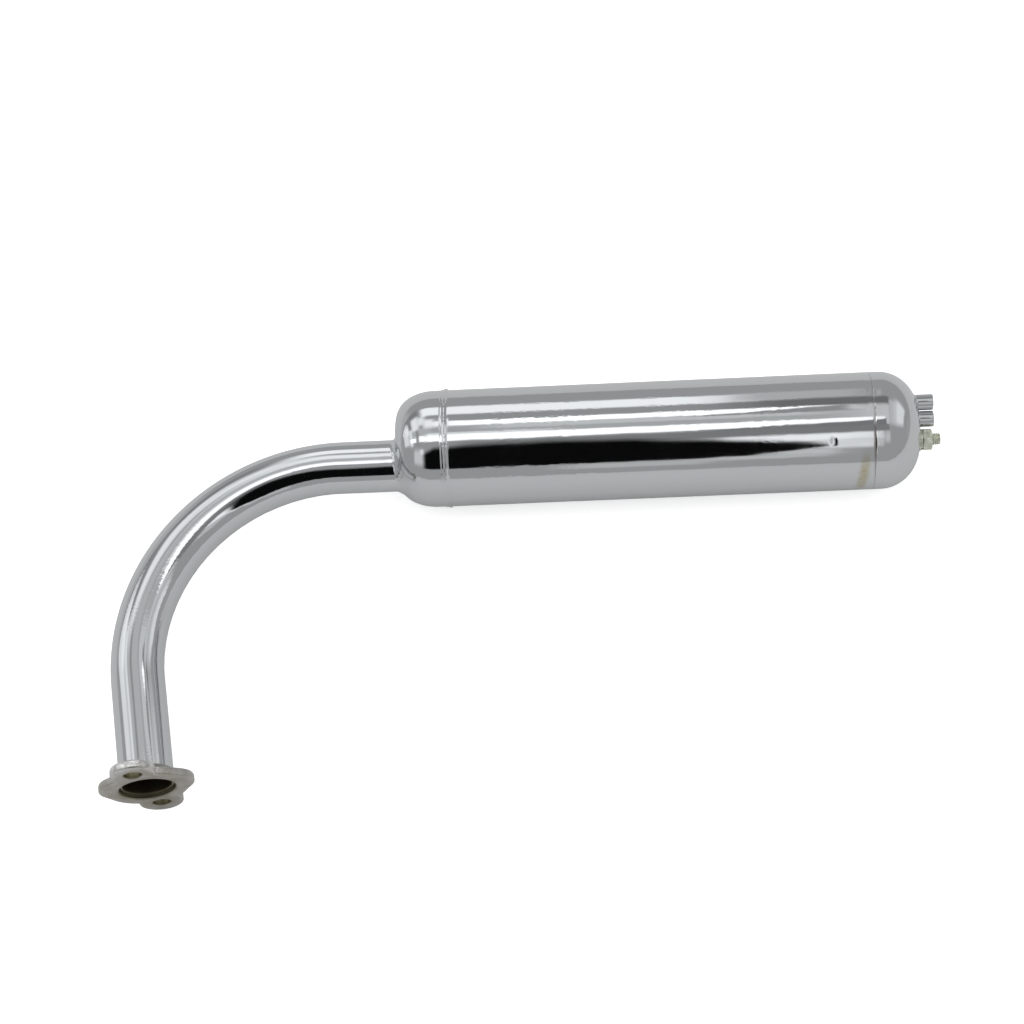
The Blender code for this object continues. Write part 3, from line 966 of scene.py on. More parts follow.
@dataclass(frozen=True)
class Flange:
    """The four-lobed plate that two studs clamp to the cylinder, and its fillet weld."""

    pipe: HeaderPipe
    thickness: float = 4.5
    disc: float = 19.4
    bore: float = 13.05
    stud_spacing: float = 41.5
    stud_hole: float = 4.2
    stud_tilt: float = math.radians(7.3)
    stud_lobe: float = 10.3
    side_offset: float = 13.2
    side_lobe: float = 9.0
    left_lobe: float = math.radians(165.0)
    right_lobe: float = math.radians(8.0)
    blend_power: float = 14.0
    face_rounding: float = 0.9
    back_rounding: float = 1.7
    bore_chamfer: float = 0.6
    hole_chamfer: float = 0.5
    outline_points: int = 360
    weld_radius: float = 16.0
    weld_length: float = 4.0
    weld_root: float = 0.2
    weld_crown: float = 0.55
    # Heights up the plate over which the painted edge highlight grows to full strength.
    highlight_start: float = 12.0
    highlight_full: float = 24.0

    def place(self, across: np.ndarray, up: np.ndarray, out: np.ndarray) -> np.ndarray:
        """Return design points for places across, up and out from the mating face's middle.

        Args:
            across: places towards the inside of the bend.
            up: places upwards.
            out: places out of the face.

        Returns:
            The points, with xyz as the last axis.
        """
        middle, outward, inward = self.pipe.end()
        rise = np.array([0.0, 0.0, 1.0])
        return middle + across[..., None] * inward + up[..., None] * rise + out[..., None] * outward

    def reach(self, angle: np.ndarray) -> np.ndarray:
        """Return the outline's distance from the bore's middle in each direction.

        Args:
            angle: directions in the face, in radians.

        Returns:
            The distance in each direction.
        """
        stud = math.pi / 2 + self.stud_tilt
        lobes = [
            (stud, self.stud_spacing / 2, self.stud_lobe),
            (stud + math.pi, self.stud_spacing / 2, self.stud_lobe),
            (self.left_lobe, self.side_offset, self.side_lobe),
            (self.right_lobe, self.side_offset, self.side_lobe),
        ]
        total = np.full_like(angle, self.disc**self.blend_power)
        for middle, offset, radius in lobes:
            across = offset * np.sin(angle - middle)
            along = offset * np.cos(angle - middle)
            inside = (np.abs(across) < radius) & (along > 0)
            chord = np.sqrt(np.clip(radius**2 - across**2, 0, None))
            total += np.where(inside, along + chord, 0.0) ** self.blend_power
        return total ** (1 / self.blend_power)

    def plate(self) -> Shape:
        """Return the plate with its bore, before the stud holes."""
        angle = turns(self.outline_points)
        far = self.reach(angle)
        edge = np.stack([far * np.cos(angle), far * np.sin(angle)], axis=-1)
        along = np.roll(edge, -1, axis=0) - np.roll(edge, 1, axis=0)
        outward = np.stack([along[:, 1], -along[:, 0]], axis=-1)
        outward /= np.linalg.norm(outward, axis=-1, keepdims=True)
        hub = np.stack([np.cos(angle), np.sin(angle)], axis=-1)
        # Share of the painted highlight by height: weak low on the plate, full towards the top.
        lobe = ramp(edge[:, 1], self.highlight_start, self.highlight_full)
        rings: list[np.ndarray] = []
        highlights: list[np.ndarray] = []
        sooty: list[float] = []

        def ring(points: np.ndarray, out: float, highlight: float = 0.0, soot: float = 0.0) -> None:
            """Add one ring at this height, with its painted highlight and its soot.

            Args:
                points: (across, up) points.
                out: the ring's height out of the face.
                highlight: how strongly the painted highlight covers it.
                soot: how sooty it is.
            """
            rings.append(self.place(points[:, 0], points[:, 1], np.full(len(points), out)))
            # Painted highlight, a quarter strength low on the plate and full towards the top.
            highlights.append(highlight * (0.25 + 0.75 * lobe))
            sooty.append(soot)

        def rounding(radius: float, height: float, towards_face: bool) -> None:
            """Add the rings of one rounded outer edge.

            Args:
                radius: the rounding.
                height: the height of the side that it meets.
                towards_face: whether that is the mating face.
            """
            for step in range(6):
                turn = math.pi / 2 * step / 5
                inset, drop = radius * (1 - math.sin(turn)), radius * (1 - math.cos(turn))
                if not towards_face:
                    inset, drop = radius * (1 - math.cos(turn)), radius * (1 - math.sin(turn))
                sign = -1.0 if towards_face else 1.0
                # Painted highlight: full on the back rounding, half on the face rounding.
                ring(edge - outward * inset, height + sign * drop, 1.0 if not towards_face else 0.5)

        back = -self.thickness
        ring(hub * self.bore, back + self.bore_chamfer, soot=1.0)
        ring(hub * self.bore, -self.bore_chamfer, soot=1.0)
        ring(hub * (self.bore + self.bore_chamfer), 0.0, soot=0.25)
        for share in (0.3, 0.7):
            ring(hub * self.bore * (1 - share) + (edge - outward * self.face_rounding) * share, 0.0)
        rounding(self.face_rounding, 0.0, True)
        rounding(self.back_rounding, back, False)
        # A faint painted highlight on the back face.
        ring(hub * self.bore * 0.4 + (edge - outward * self.back_rounding) * 0.6, back, 0.15)
        ring(hub * (self.bore + self.bore_chamfer), back)
        marks = {Mark.PAINTED_HIGHLIGHT: np.array(highlights), Mark.INSIDE: np.array(sooty)[:, None]}
        return Shape().add_rings(np.array(rings), marks=marks)

    def stud_cutter(self, side: float) -> Shape:
        """Return the cutter of one stud hole, flared where it leaves each face.

        Args:
            side: +1 or -1, the way from the bore to the stud.

        Returns:
            The closed cutter.
        """
        stud = math.pi / 2 + self.stud_tilt
        across, up = (side * self.stud_spacing / 2 * f(stud) for f in (math.cos, math.sin))
        flare = self.stud_hole + self.hole_chamfer + 1.0
        profile = [
            (1.0, 0.0), (1.0, flare), (-self.hole_chamfer, self.stud_hole),
            (self.hole_chamfer - self.thickness, self.stud_hole),
            (-self.thickness - 1.0, flare), (-self.thickness - 1.0, 0.0),
        ]
        angle = turns(64)
        rings = [
            self.place(across + r * np.cos(angle), up + r * np.sin(angle), np.full(64, out))
            for out, r in profile
        ]
        return Shape().add_rings(np.array(rings), loop=False)

    def build(self, dresser: Dresser) -> None:
        """Make the plate and the weld behind it.

        Args:
            dresser: gives each piece the finish of its slot and its body.
        """
        plate = self.plate().to_object("lobed_flange")
        for side in (1.0, -1.0):
            cut(plate, self.stud_cutter(side))
        dresser.dress(plate, Slot.TARNISHED, Body.CANISTER, "header_flange")

        angle = turns(240)
        ripple = WeldRipple(scallops=54, height=0.16, drift=0.12).at(angle)
        root = self.pipe.radius - self.weld_root
        rings = []
        for step in range(9):
            turn = math.pi / 2 * step / 8
            bulge = self.weld_crown * math.sin(2 * turn) + ripple * math.sin(2 * turn) ** 0.5
            radius = root + (self.weld_radius - root) * (1 - math.sin(turn)) + bulge
            out = -self.thickness - (self.weld_length - 0.2) * (1 - math.cos(turn)) - bulge * 0.6
            rings.append(self.place(radius * np.cos(angle), radius * np.sin(angle), out + 0 * angle))
        last = np.full(len(angle), -self.thickness - self.weld_length + 0.3)
        rings.append(self.place(root * np.cos(angle), root * np.sin(angle), last))
        rings.append(self.place(root * np.cos(angle), root * np.sin(angle), last * 0 - self.thickness))
        weld = Shape().add_rings(np.array(rings)).to_object("flange_fillet_weld", 60)
        dresser.dress(weld, Slot.TARNISHED, Body.CANISTER, "flange_weld")


def saddle_weld(
    centre: tuple[float, float],
    tube: float,
    foot: float,
    surface: Callable[[np.ndarray], np.ndarray],
    rise: float,
    ripple: np.ndarray,
    outward: float,
) -> Shape:
    """A fillet between a tube along X and the pressed end that it goes through.

    Args:
        centre: (y, z) of the tube.
        tube: the tube's radius.
        foot: the radius, from the tube's line, where the fillet meets the end.
        surface: x of the end's surface at a distance from the canister's axis.
        rise: how far the fillet climbs along the tube.
        ripple: change of height round the fillet, which also sets its sides.
        outward: +1 or -1, the way along X that the end faces.

    Returns:
        The closed fillet.
    """
    angle = turns(len(ripple))
    rings = []

    def ring(radius: np.ndarray | float, lift: np.ndarray | float) -> None:
        """Add a ring that stands this far off the surface.

        Args:
            radius: its distance from the tube's line.
            lift: how far it stands off the surface.
        """
        y = centre[0] - radius * np.sin(angle)
        z = centre[1] + radius * np.cos(angle)
        x = surface(np.hypot(y, z)) + outward * lift
        rings.append(np.stack([np.broadcast_to(x, angle.shape), y, z], axis=-1))

    steps = 10
    for step in range(steps + 1):
        turn = math.pi / 2 * step / steps
        bulge = math.sin(2 * turn)
        radius = foot - (foot - tube) * math.sin(turn) + ripple * 0.8 * bulge
        ring(radius, rise * (1 - math.cos(turn)) + (0.12 * rise + ripple) * bulge - 0.05)
    ring(tube - 0.25, rise * 0.9)
    ring(tube - 0.25, -0.8)
    ring(foot - 0.4, -0.8)
    return Shape().add_rings(np.array(rings))


# ------------------------------------------------------------------------- canister


@dataclass(frozen=True)
class Nick:
    """A small dent in the shell."""

    x: float
    angle: float
    length: float
    width: float
    depth: float

    def at(self, x: np.ndarray, angle: np.ndarray, radius: float) -> np.ndarray:
        """Return the change of radius, with the metal pushed up a little round it.

        Args:
            x: places along the shell.
            angle: places round it, in radians.
            radius: the shell's radius.

        Returns:
            The change of radius at each place.
        """
        away = ((x - self.x) / self.length) ** 2
        away = away + (radius * turn_between(angle, math.radians(self.angle)) / self.width) ** 2
        return -self.depth * (1 - 0.25 * away) * np.exp(-away)


@dataclass(frozen=True)
class Canister:
    """The front dome, the long shell and the raised weld between them."""

    pipe: HeaderPipe
    radius: float = 28.6
    wall: float = 1.2
    shell_front: float = 26.2
    shell_rear: float = 230.93
    dome_end: float = 22.9
    seam_start: float = 22.2
    seam_end: float = 26.9
    seam_height: float = 0.95
    seam_root: float = 1.0
    hole_gap: float = 0.15
    weld_foot: float = 15.0
    weld_rise: float = 2.5
    dome: PressedEnd = PressedEnd(14.0, 28.6, 20.0, 2.2)
    sides: int = 192
    spacing: float = 1.1
    dome_steps: int = 44
    stain_x: float = 226.6
    stain_half: float = 2.3
    stain_slant: float = 2.6
    stain_angle: float = math.radians(78)
    rust_angle: float = math.radians(40)
    patch_spread: float = math.radians(26)
    nicks: tuple[Nick, ...] = (
        Nick(210.8, 35.0, 0.8, 1.7, 0.23),
        Nick(228.9, -38.0, 0.7, 2.4, 0.12),
        Nick(229.6, -17.0, 0.8, 1.4, 0.14),
        Nick(229.3, 4.0, 0.8, 1.8, 0.12),
        Nick(178.0, 22.0, 1.2, 0.5, 0.03),
        Nick(62.0, 50.0, 0.9, 0.8, 0.08),
    )

    def waviness(self, x: np.ndarray, angle: np.ndarray) -> np.ndarray:
        """Return how far rolling and polishing leave the shell off round.

        Args:
            x: places along the shell.
            angle: places round it, in radians.

        Returns:
            The change of radius at each place.
        """
        wave = 0.016 * np.sin(FULL_TURN * x / 83 + 2 * angle + 0.6)
        wave += 0.009 * np.sin(FULL_TURN * x / 37 - 5 * angle + 1.9)
        wave += 0.005 * np.sin(FULL_TURN * x / 19 + 9 * angle)
        return wave

    def shell_shift(self, x: np.ndarray, angle: np.ndarray) -> np.ndarray:
        """Return the shell's waviness and its nicks.

        Args:
            x: places along the shell.
            angle: places round it, in radians.

        Returns:
            The change of radius at each place.
        """
        shift = self.waviness(x, angle)
        for nick in self.nicks:
            shift = shift + nick.at(x, angle, self.radius)
        return shift

    def shell(self) -> Shape:
        """Return the long tube."""
        inner = self.radius - self.wall
        section = tube_section(
            (self.shell_front, self.shell_rear), self.radius, inner, (0.12, 0.2, 0.2, 0.3)
        )
        fine = spread(section, self.spacing)
        rings = turned(fine, self.sides, shift=self.shell_shift)
        x, r = fine[:, :1], fine[:, 1:]
        angle = turns(self.sides)[None, :]
        inside = (r < self.radius - 0.5).astype(float)
        low_side = np.exp(-((turn_between(angle, self.stain_angle) / self.patch_spread) ** 4))
        run = self.stain_x - self.stain_slant * np.clip(angle - math.radians(50), 0, 1.2)
        straw = np.exp(-(((x - run) / self.stain_half) ** 4)) * low_side * 0.8
        side = near(turn_between(angle, self.rust_angle), 0.0, self.patch_spread)
        line = ramp(x, 230.2, 230.7) * (1 - inside) * side * 0.85
        return Shape().add_rings(rings, marks={Mark.INSIDE: inside, Mark.STAIN: straw, Mark.RUST: line})

    def pipe_line(self) -> np.ndarray:
        """Return (y, z) of the pipe's line."""
        return np.array([self.pipe.offset_y, self.pipe.offset_z])

    def rays(self) -> np.ndarray:
        """Return the ways out from the pipe's line, one for each side."""
        angle = turns(self.sides)
        return np.stack([-np.sin(angle), np.cos(angle)], axis=-1)

    def ray_length(self, radius: np.ndarray, least: np.ndarray) -> np.ndarray:
        """Measure each ray from the pipe's line to a circle round the canister's axis.

        Args:
            radius: the circle's radius for each ray.
            least: the shortest length that each ray may have.

        Returns:
            The length of each ray.
        """
        line = self.pipe_line()
        lean = self.rays() @ line
        return np.maximum(-lean + np.sqrt(np.clip(radius**2 - line @ line + lean**2, 0, None)), least)

    def front(self) -> Shape:
        """Return the pressed front end with its off-centre hole for the pipe."""
        rays, line = self.rays(), self.pipe_line()
        opening = self.pipe.radius + self.hole_gap
        rim = np.hypot(*(line + rays * opening).T)
        inner = self.dome.inside(self.wall, self.radius - self.wall)
        steps = self.dome_steps

        def sheet(end: PressedEnd, face: float) -> list[np.ndarray]:
            """Rings from the hole to the end of the rounded corner on one side of the wall.

            Args:
                end: the surface on that side.
                face: x of its flat middle.

            Returns:
                The rings.
            """
            rings = []
            rim_share = np.clip((rim - end.flat) / (end.outer - end.flat), 0, 1)
            start = np.arcsin(rim_share ** (end.power / 2))
            for i in range(steps + 1):
                turn = start + (math.pi / 2 - start) * i / steps
                radius = end.flat + (end.outer - end.flat) * np.sin(turn) ** (2 / end.power)
                from_rim = radius * min(1, i / 4) + rim * max(0, 1 - i / 4)
                radius = np.where(rim < end.flat, from_rim, radius)
                reach = self.ray_length(radius, np.full(self.sides, opening))
                flat = line + rays * reach[:, None]
                depth = face + end.depth(np.hypot(*flat.T))
                rings.append(np.concatenate([depth[:, None], flat], axis=-1))
            return rings

        outside = sheet(self.dome, 0.0)
        inside = sheet(inner, self.wall)
        outer_end = self.ring_at(self.dome_end, self.radius)
        inner_end = self.ring_at(self.dome_end, self.radius - self.wall)
        for share in (0.35, 0.7):
            outside.append(outside[steps] * (1 - share) + outer_end * share)
        rings = np.array([*outside, outer_end, inner_end, *inside[::-1]])
        soot = np.array([0.0] * (len(outside) + 1) + [1.0] * (len(inside) + 1))[:, None]
        return Shape().add_rings(rings, marks={Mark.INSIDE: soot})

    def ring_at(self, x: float, radius: float) -> np.ndarray:
        """Return a ring round the axis whose points lie on the same rays from the pipe's line.

        Args:
            x: the ring's place.
            radius: its radius.

        Returns:
            The ring's points.
        """
        reach = self.ray_length(np.full(self.sides, radius), np.zeros(self.sides))
        flat = self.pipe_line() + self.rays() * reach[:, None]
        return np.concatenate([np.full((self.sides, 1), x), flat], axis=-1)

    def seam(self) -> Shape:
        """Return the raised weld, a low lip and a taller ridge that wander a little."""
        sides = 420
        angle = turns(sides)
        ripple = WeldRipple(scallops=58, height=0.10, drift=0.20, seed=SEED + 1).at(angle)
        edge = WeldRipple(scallops=34, height=0.06, drift=0.26, seed=SEED + 2).at(angle)
        rings = []
        steps = 18
        for i in range(steps + 1):
            share = i / steps
            crown = math.sin(math.pi * share)
            lip, ridge = near(share, 0.22, 0.14), near(share, 0.63, 0.23)
            height = self.seam_height * (0.45 * lip + ridge) * crown**0.4
            height = height + ripple * ridge + 0.4 * edge * lip
            x = self.seam_start + (self.seam_end - self.seam_start) * share + edge * (0.5 + 0.5 * (1 - crown))
            radius = self.radius - 0.12 + height
            rings.append(around(x, radius, angle))
        for x in (self.seam_end - 0.5, self.seam_start + 0.5):
            rings.append(around(x, self.radius - self.seam_root, angle))
        return Shape().add_rings(np.array(rings))

    def build(self, dresser: Dresser) -> None:
        """Make the dome, its pipe weld, the seam weld and the shell.

        Args:
            dresser: gives each piece the finish of its slot and its body.
        """
        shell = self.shell().to_object("canister_tube")
        dresser.dress(shell, Slot.CHROME, Body.CANISTER, "canister_shell")
        front = self.front().to_object("front_pressed_dome")
        dresser.dress(front, Slot.CHROME, Body.CANISTER, "front_dome")
        seam = self.seam().to_object("seam_weld_ring", 70)
        dresser.dress(seam, Slot.CHROME, Body.CANISTER, "front_seam_weld")
        ripple = WeldRipple(scallops=36, height=0.06, drift=0.16, seed=SEED + 3).at(turns(240))
        centre = (self.pipe.offset_y, self.pipe.offset_z)
        weld = saddle_weld(
            centre, self.pipe.radius, self.weld_foot, self.dome.depth, self.weld_rise, ripple, -1.0
        )
        dresser.dress(weld.to_object("pipe_fillet_weld", 60), Slot.CHROME, Body.CANISTER, "pipe_weld")


# ------------------------------------------------------------------ rear cap and core


@dataclass(frozen=True)
class Row:
    """The tilted row across the rear cap on which the outlets and the stud lie."""

    tilt: float = math.radians(28.0)
    upper_outlet: float = 12.7
    lower_outlet: float = 4.6
    stud: float = -5.4
    baffle_tube: float = 10.5
    bleed: float = -17.0

    def at(self, offset: float) -> tuple[float, float]:
        """Return (y, z) at this distance from the canister's axis."""
        return offset * math.cos(self.tilt), offset * math.sin(self.tilt)


def hole(centre: tuple[float, float], radius: float, start: float, end: float, sides: int = 48) -> Shape:
    """Return a plain round cutter along X, at this centre and between these places."""
    profile = [(start, 0.0), (start, radius), (end, radius), (end, 0.0)]
    return Shape().add_rings(turned(profile, sides, centre), loop=False)


@dataclass(frozen=True)
class RearCap:
    """The removable pressed end with its spigot, its two outlets and their braze."""

    row: Row
    radius: float = 28.6
    wall: float = 1.2
    rim: float = 231.0
    end: float = 254.5
    spigot_radius: float = 27.1
    spigot_start: float = 222.6
    stud_hole: float = 3.3
    outlet_radius: float = 3.9
    outlet_wall: float = 0.7
    outlet_start: float = 196.0
    outlet_end: float = 262.0
    outlet_gap: float = 0.08
    braze_foot: float = 4.75
    braze_rise: float = 0.9
    lip_rounding: float = 0.15
    rust_angle: float = math.radians(40)
    rust_spread: float = math.radians(26)
    dome: PressedEnd = PressedEnd(8.0, 28.6, 19.0, 2.0)
    sides: int = 192

    def surface(self, radius: np.ndarray) -> np.ndarray:
        """Return x of the outside at this distance from the axis."""
        return self.end - self.dome.depth(radius)

    def shift(self, x: np.ndarray, angle: np.ndarray) -> np.ndarray:
        """Return how far the pressing is off round, fading towards its middle.

        Args:
            x: places along the cap.
            angle: places round it, in radians.

        Returns:
            The change of radius at each place.
        """
        fade = 1 - ramp(x, self.rim + 2, self.end - 4)
        nick = Nick(232.4, -12.0, 1.0, 1.5, 0.12).at(x, angle, self.radius)
        wave = 0.02 * np.sin(3 * angle + 0.4) + 0.01 * np.sin(7 * angle + x / 9)
        return fade * wave + nick * fade

    def cap(self) -> bpy.types.Object:
        """Return the pressing with its three holes."""
        inner = self.dome.inside(self.wall, self.spigot_radius - self.wall)
        face = [(self.end, r) for r in (0.0, 1.3, 2.6, 4.0, 5.3, 6.6)]
        corner = [(self.end - depth, r) for depth, r in self.dome.corner(48)]
        low = corner[-1][0]
        skirt = [(low + (self.rim - low) * s, self.radius) for s in (0.3, 0.6, 0.85)]
        lip = [
            (
                self.rim + self.lip_rounding * (1 - math.sin(t)),
                self.radius - self.lip_rounding * (1 - math.cos(t)),
            )
            for t in np.linspace(0, math.pi / 2, 5)
        ]
        outside = face + corner + skirt + lip
        step = [
            (self.rim, self.spigot_radius + 0.1), (self.rim - 0.2, self.spigot_radius),
            (self.spigot_start + 0.6, self.spigot_radius), (self.spigot_start, self.spigot_radius - 0.4),
            (self.spigot_start, inner.outer),
        ]
        back = [(self.end - self.wall - depth, r) for depth, r in inner.corner(24)][::-1]
        profile = np.array(outside + step + back + [(self.end - self.wall, 0.0)])
        inside = np.zeros((len(profile), 1))
        inside[len(outside) + 1 :] = 0.75
        side = near(turn_between(turns(self.sides), self.rust_angle), 0.0, self.rust_spread)
        rust = np.zeros((len(profile), self.sides))
        rust[len(outside) - 2 : len(outside) + 2] = 0.7 * side
        rings = turned(profile, self.sides, shift=self.shift)
        shape = Shape().add_rings(rings, loop=False, marks={Mark.INSIDE: inside, Mark.RUST: rust})
        piece = shape.to_object("rear_pressed_cap")
        start, end = self.rim + 4, self.end + 5
        cut(piece, hole(self.row.at(self.row.stud), self.stud_hole, start, end))
        for offset in (self.row.upper_outlet, self.row.lower_outlet):
            cut(piece, hole(self.row.at(offset), self.outlet_radius + self.outlet_gap, start, end))
        return piece

    def outlet(self, offset: float) -> Shape:
        """Return one outlet tube, its outer end rolled round.

        Args:
            offset: its place on the tilted row.

        Returns:
            The closed tube.
        """
        bore = self.outlet_radius - self.outlet_wall
        section = tube_section(
            (self.outlet_start, self.outlet_end), self.outlet_radius, bore, (0.34, 0.1, 0.1, 0.3)
        )
        fine = spread(section, 2.0)
        soot = (fine[:, 1:] < self.outlet_radius - 0.36) | (fine[:, :1] < self.end - 12)
        rings = turned(fine, 72, self.row.at(offset))
        return Shape().add_rings(rings, marks={Mark.INSIDE: soot.astype(float) * 0.8})

    def build(self, dresser: Dresser) -> None:
        """Make the cap, the two outlet tubes and the braze round each.

        Args:
            dresser: gives each piece the finish of its slot and its body.
        """
        dresser.dress(self.cap(), Slot.CHROME, Body.CORE, "rear_cap")
        for name, offset in (("upper", self.row.upper_outlet), ("lower", self.row.lower_outlet)):
            tube = self.outlet(offset).to_object(f"{name}_outlet_tube")
            dresser.dress(tube, Slot.CHROME, Body.CORE, f"outlet_tube_{name}")
            ripple = WeldRipple(scallops=22, height=0.05, drift=0.06, seed=SEED + 5).at(turns(120))
            centre, foot, rise = self.row.at(offset), self.braze_foot, self.braze_rise
            braze = saddle_weld(centre, self.outlet_radius, foot, self.surface, rise, ripple, 1.0)
            dresser.dress(braze.to_object(f"{name}_outlet_braze", 60), Slot.CHROME, Body.CORE)


@dataclass(frozen=True)
class TieRod:
    """The long stud, the strap that it pulls against and the nut that holds it there."""

    row: Row
    radius: float = 3.0
    pitch: float = 1.0
    thread_depth: float = 0.52
    tip_rounding: float = 0.95
    start: float = 41.0
    end: float = 265.0
    front_thread: float = 18.0
    rear_thread: float = 20.0
    bracket_x: float = 50.0
    bracket_thickness: float = 3.0
    bracket_width: float = 14.0
    bracket_reach: float = 24.0
    bracket_tab: float = 10.0
    nut_gap: float = 0.3
    nut_height: float = 4.6
    clearance: float = 0.3
    sides: int = 48

    def rod(self) -> Shape:
        """Return the stud, with rolled threads at both ends."""
        line = self.row.at(self.row.stud)
        fine, coarse = self.pitch / 10, 4.0
        front, rear = self.start + self.front_thread, self.end - self.rear_thread
        x = np.concatenate(
            [
                np.arange(self.start, front, fine),
                np.arange(front, rear, coarse),
                np.arange(rear, self.end + fine / 2, fine),
            ]
        )
        angle = turns(self.sides)
        phase = (x[:, None] / self.pitch - angle[None, :] / FULL_TURN) % 1.0
        flank = np.clip((np.abs(phase - 0.5) * 2 - 0.12) / 0.72, 0, 1)
        deep = (1 - ramp(x, front - 2, front)) + ramp(x, rear, rear + 2)
        radius = self.radius - self.thread_depth * flank * deep[:, None]
        tip_round = self.tip_rounding
        from_end = np.clip(np.minimum(x - self.start, self.end - x), 0, tip_round)
        tip = self.radius - tip_round + np.sqrt(np.clip(tip_round**2 - (tip_round - from_end) ** 2, 0, None))
        radius = np.minimum(radius, tip[:, None])
        rings = around(x[:, None], radius, angle, line)
        return Shape().add_rings(rings, loop=False, fill=True)

    def bracket(self) -> bpy.types.Object:
        """Return the bent strap with its hole."""
        t, reach, tab = self.bracket_thickness, self.bracket_reach, self.bracket_tab
        outline = rounded_outline(
            [
                (0, -reach, 4.0), (0, reach, 4.0), (tab, reach, 0.5), (tab, reach - t, 0.5),
                (t, reach - t, 1.4), (t, t - reach, 1.4), (tab, t - reach, 0.5), (tab, -reach, 0.5),
            ],
            6,
        )
        line = self.row.at(self.row.stud)
        across = np.array([0.0, -math.sin(self.row.tilt), math.cos(self.row.tilt)])
        wide = np.array([0.0, math.cos(self.row.tilt), math.sin(self.row.tilt)])
        middle = np.array([self.bracket_x, *line])
        rings = [
            middle + outline[:, :1] * np.array([1.0, 0, 0]) + outline[:, 1:] * across + wide * place
            for place in (-self.bracket_width / 2, self.bracket_width / 2)
        ]
        piece = Shape().add_rings(np.array(rings), loop=False, fill=True).to_object("anchor_strap")
        cut(piece, hole(line, self.radius + self.clearance, self.bracket_x - 5, self.bracket_x + 8))
        soften_edges(piece, 0.3)
        return piece

    def build(self, dresser: Dresser) -> None:
        """Make the stud, the strap and the anchor nut.

        Args:
            dresser: gives each piece the finish of its slot and its body.
        """
        dresser.dress(self.rod().to_object("threaded_tie_rod", 50), Slot.ZINC, Body.CANISTER, "tie_rod")
        dresser.dress(self.bracket(), Slot.STEEL, Body.CANISTER, "anchor_bracket")
        start = self.bracket_x - self.nut_gap - self.nut_height
        nut = HexNut(self.row, start, self.nut_height).make("anchor_hex_nut")
        dresser.dress(nut, Slot.ZINC, Body.CANISTER, "anchor_nut")


@dataclass(frozen=True)
class HexNut:
    """A double-chamfered hexagon nut on the stud's line."""

    row: Row
    start: float
    height: float = 4.6
    flats: float = 10.0
    bore: float = 3.25
    bore_chamfer: float = 0.55
    face_share: float = 0.94
    sides: int = 96

    def make(self, name: str) -> bpy.types.Object:
        """Return the nut as an object of this name.

        Args:
            name: the object's name.

        Returns:
            The nut.
        """
        line = self.row.at(self.row.stud)
        angle = turns(self.sides)
        sixth = FULL_TURN / 6
        side = self.flats / 2 / np.cos((angle + sixth / 2) % sixth - sixth / 2)
        face = self.flats / 2 * self.face_share
        bevel = (side - face) * math.tan(math.radians(30))
        end = self.start + self.height
        rings = [
            (self.start + self.bore_chamfer, self.bore), (self.start, self.bore + self.bore_chamfer),
            (self.start, face), (self.start + bevel, side), (end - bevel, side), (end, face),
            (end, self.bore + self.bore_chamfer), (end - self.bore_chamfer, self.bore),
        ]
        points = [around(x, radius, angle, line) for x, radius in rings]
        piece = Shape().add_rings(np.array(points)).to_object(name, 20)
        soften_edges(piece, 0.13)
        return piece


@dataclass(frozen=True)
class CapFasteners:
    """The flat washer, the split lock washer and the nut that hold the rear cap on."""

    row: Row
    bore: float = 3.3
    flat_radius: float = 5.8
    flat_start: float = 254.6
    flat_end: float = 255.2
    lock_radius: float = 5.1
    lock_start: float = 255.3
    lock_end: float = 256.2
    lock_split: float = math.radians(16.0)
    nut_start: float = 256.3

    def flat_washer(self) -> Shape:
        """Return the stamped washer, one edge rolled over by the punch."""
        section = tube_section(
            (self.flat_start, self.flat_end), self.flat_radius, self.bore, (0.25, 0.08, 0.08, 0.15)
        )
        return Shape().add_rings(turned(section, 96, self.row.at(self.row.stud)))

    def lock_washer(self) -> Shape:
        """Return the coil washer, pressed nearly flat, with its cut ends."""
        line = self.row.at(self.row.stud)
        section = tube_section(
            (self.lock_start, self.lock_end), self.lock_radius, self.bore, (0.15, 0.15, 0.12, 0.12)
        )
        start = math.pi / 2 + self.lock_split / 2
        angle = np.linspace(start, start + FULL_TURN - self.lock_split, 90)
        rings = around(section[None, :, 0], section[None, :, 1], angle[:, None], line)
        return Shape().add_rings(rings, loop=False, fill=True)

    def build(self, dresser: Dresser) -> None:
        """Make the two washers and the nut.

        Args:
            dresser: gives each piece the finish of its slot and its body.
        """
        stamped = self.flat_washer().to_object("stamped_flat_washer")
        dresser.dress(stamped, Slot.ZINC, Body.CORE, "flat_washer")
        coil = self.lock_washer().to_object("split_lock_washer")
        dresser.dress(coil, Slot.ZINC, Body.LOCK_WASHER, "lock_washer")
        nut = HexNut(self.row, self.nut_start).make("rear_hex_nut")
        dresser.dress(nut, Slot.ZINC, Body.REAR_NUT, "rear_nut")


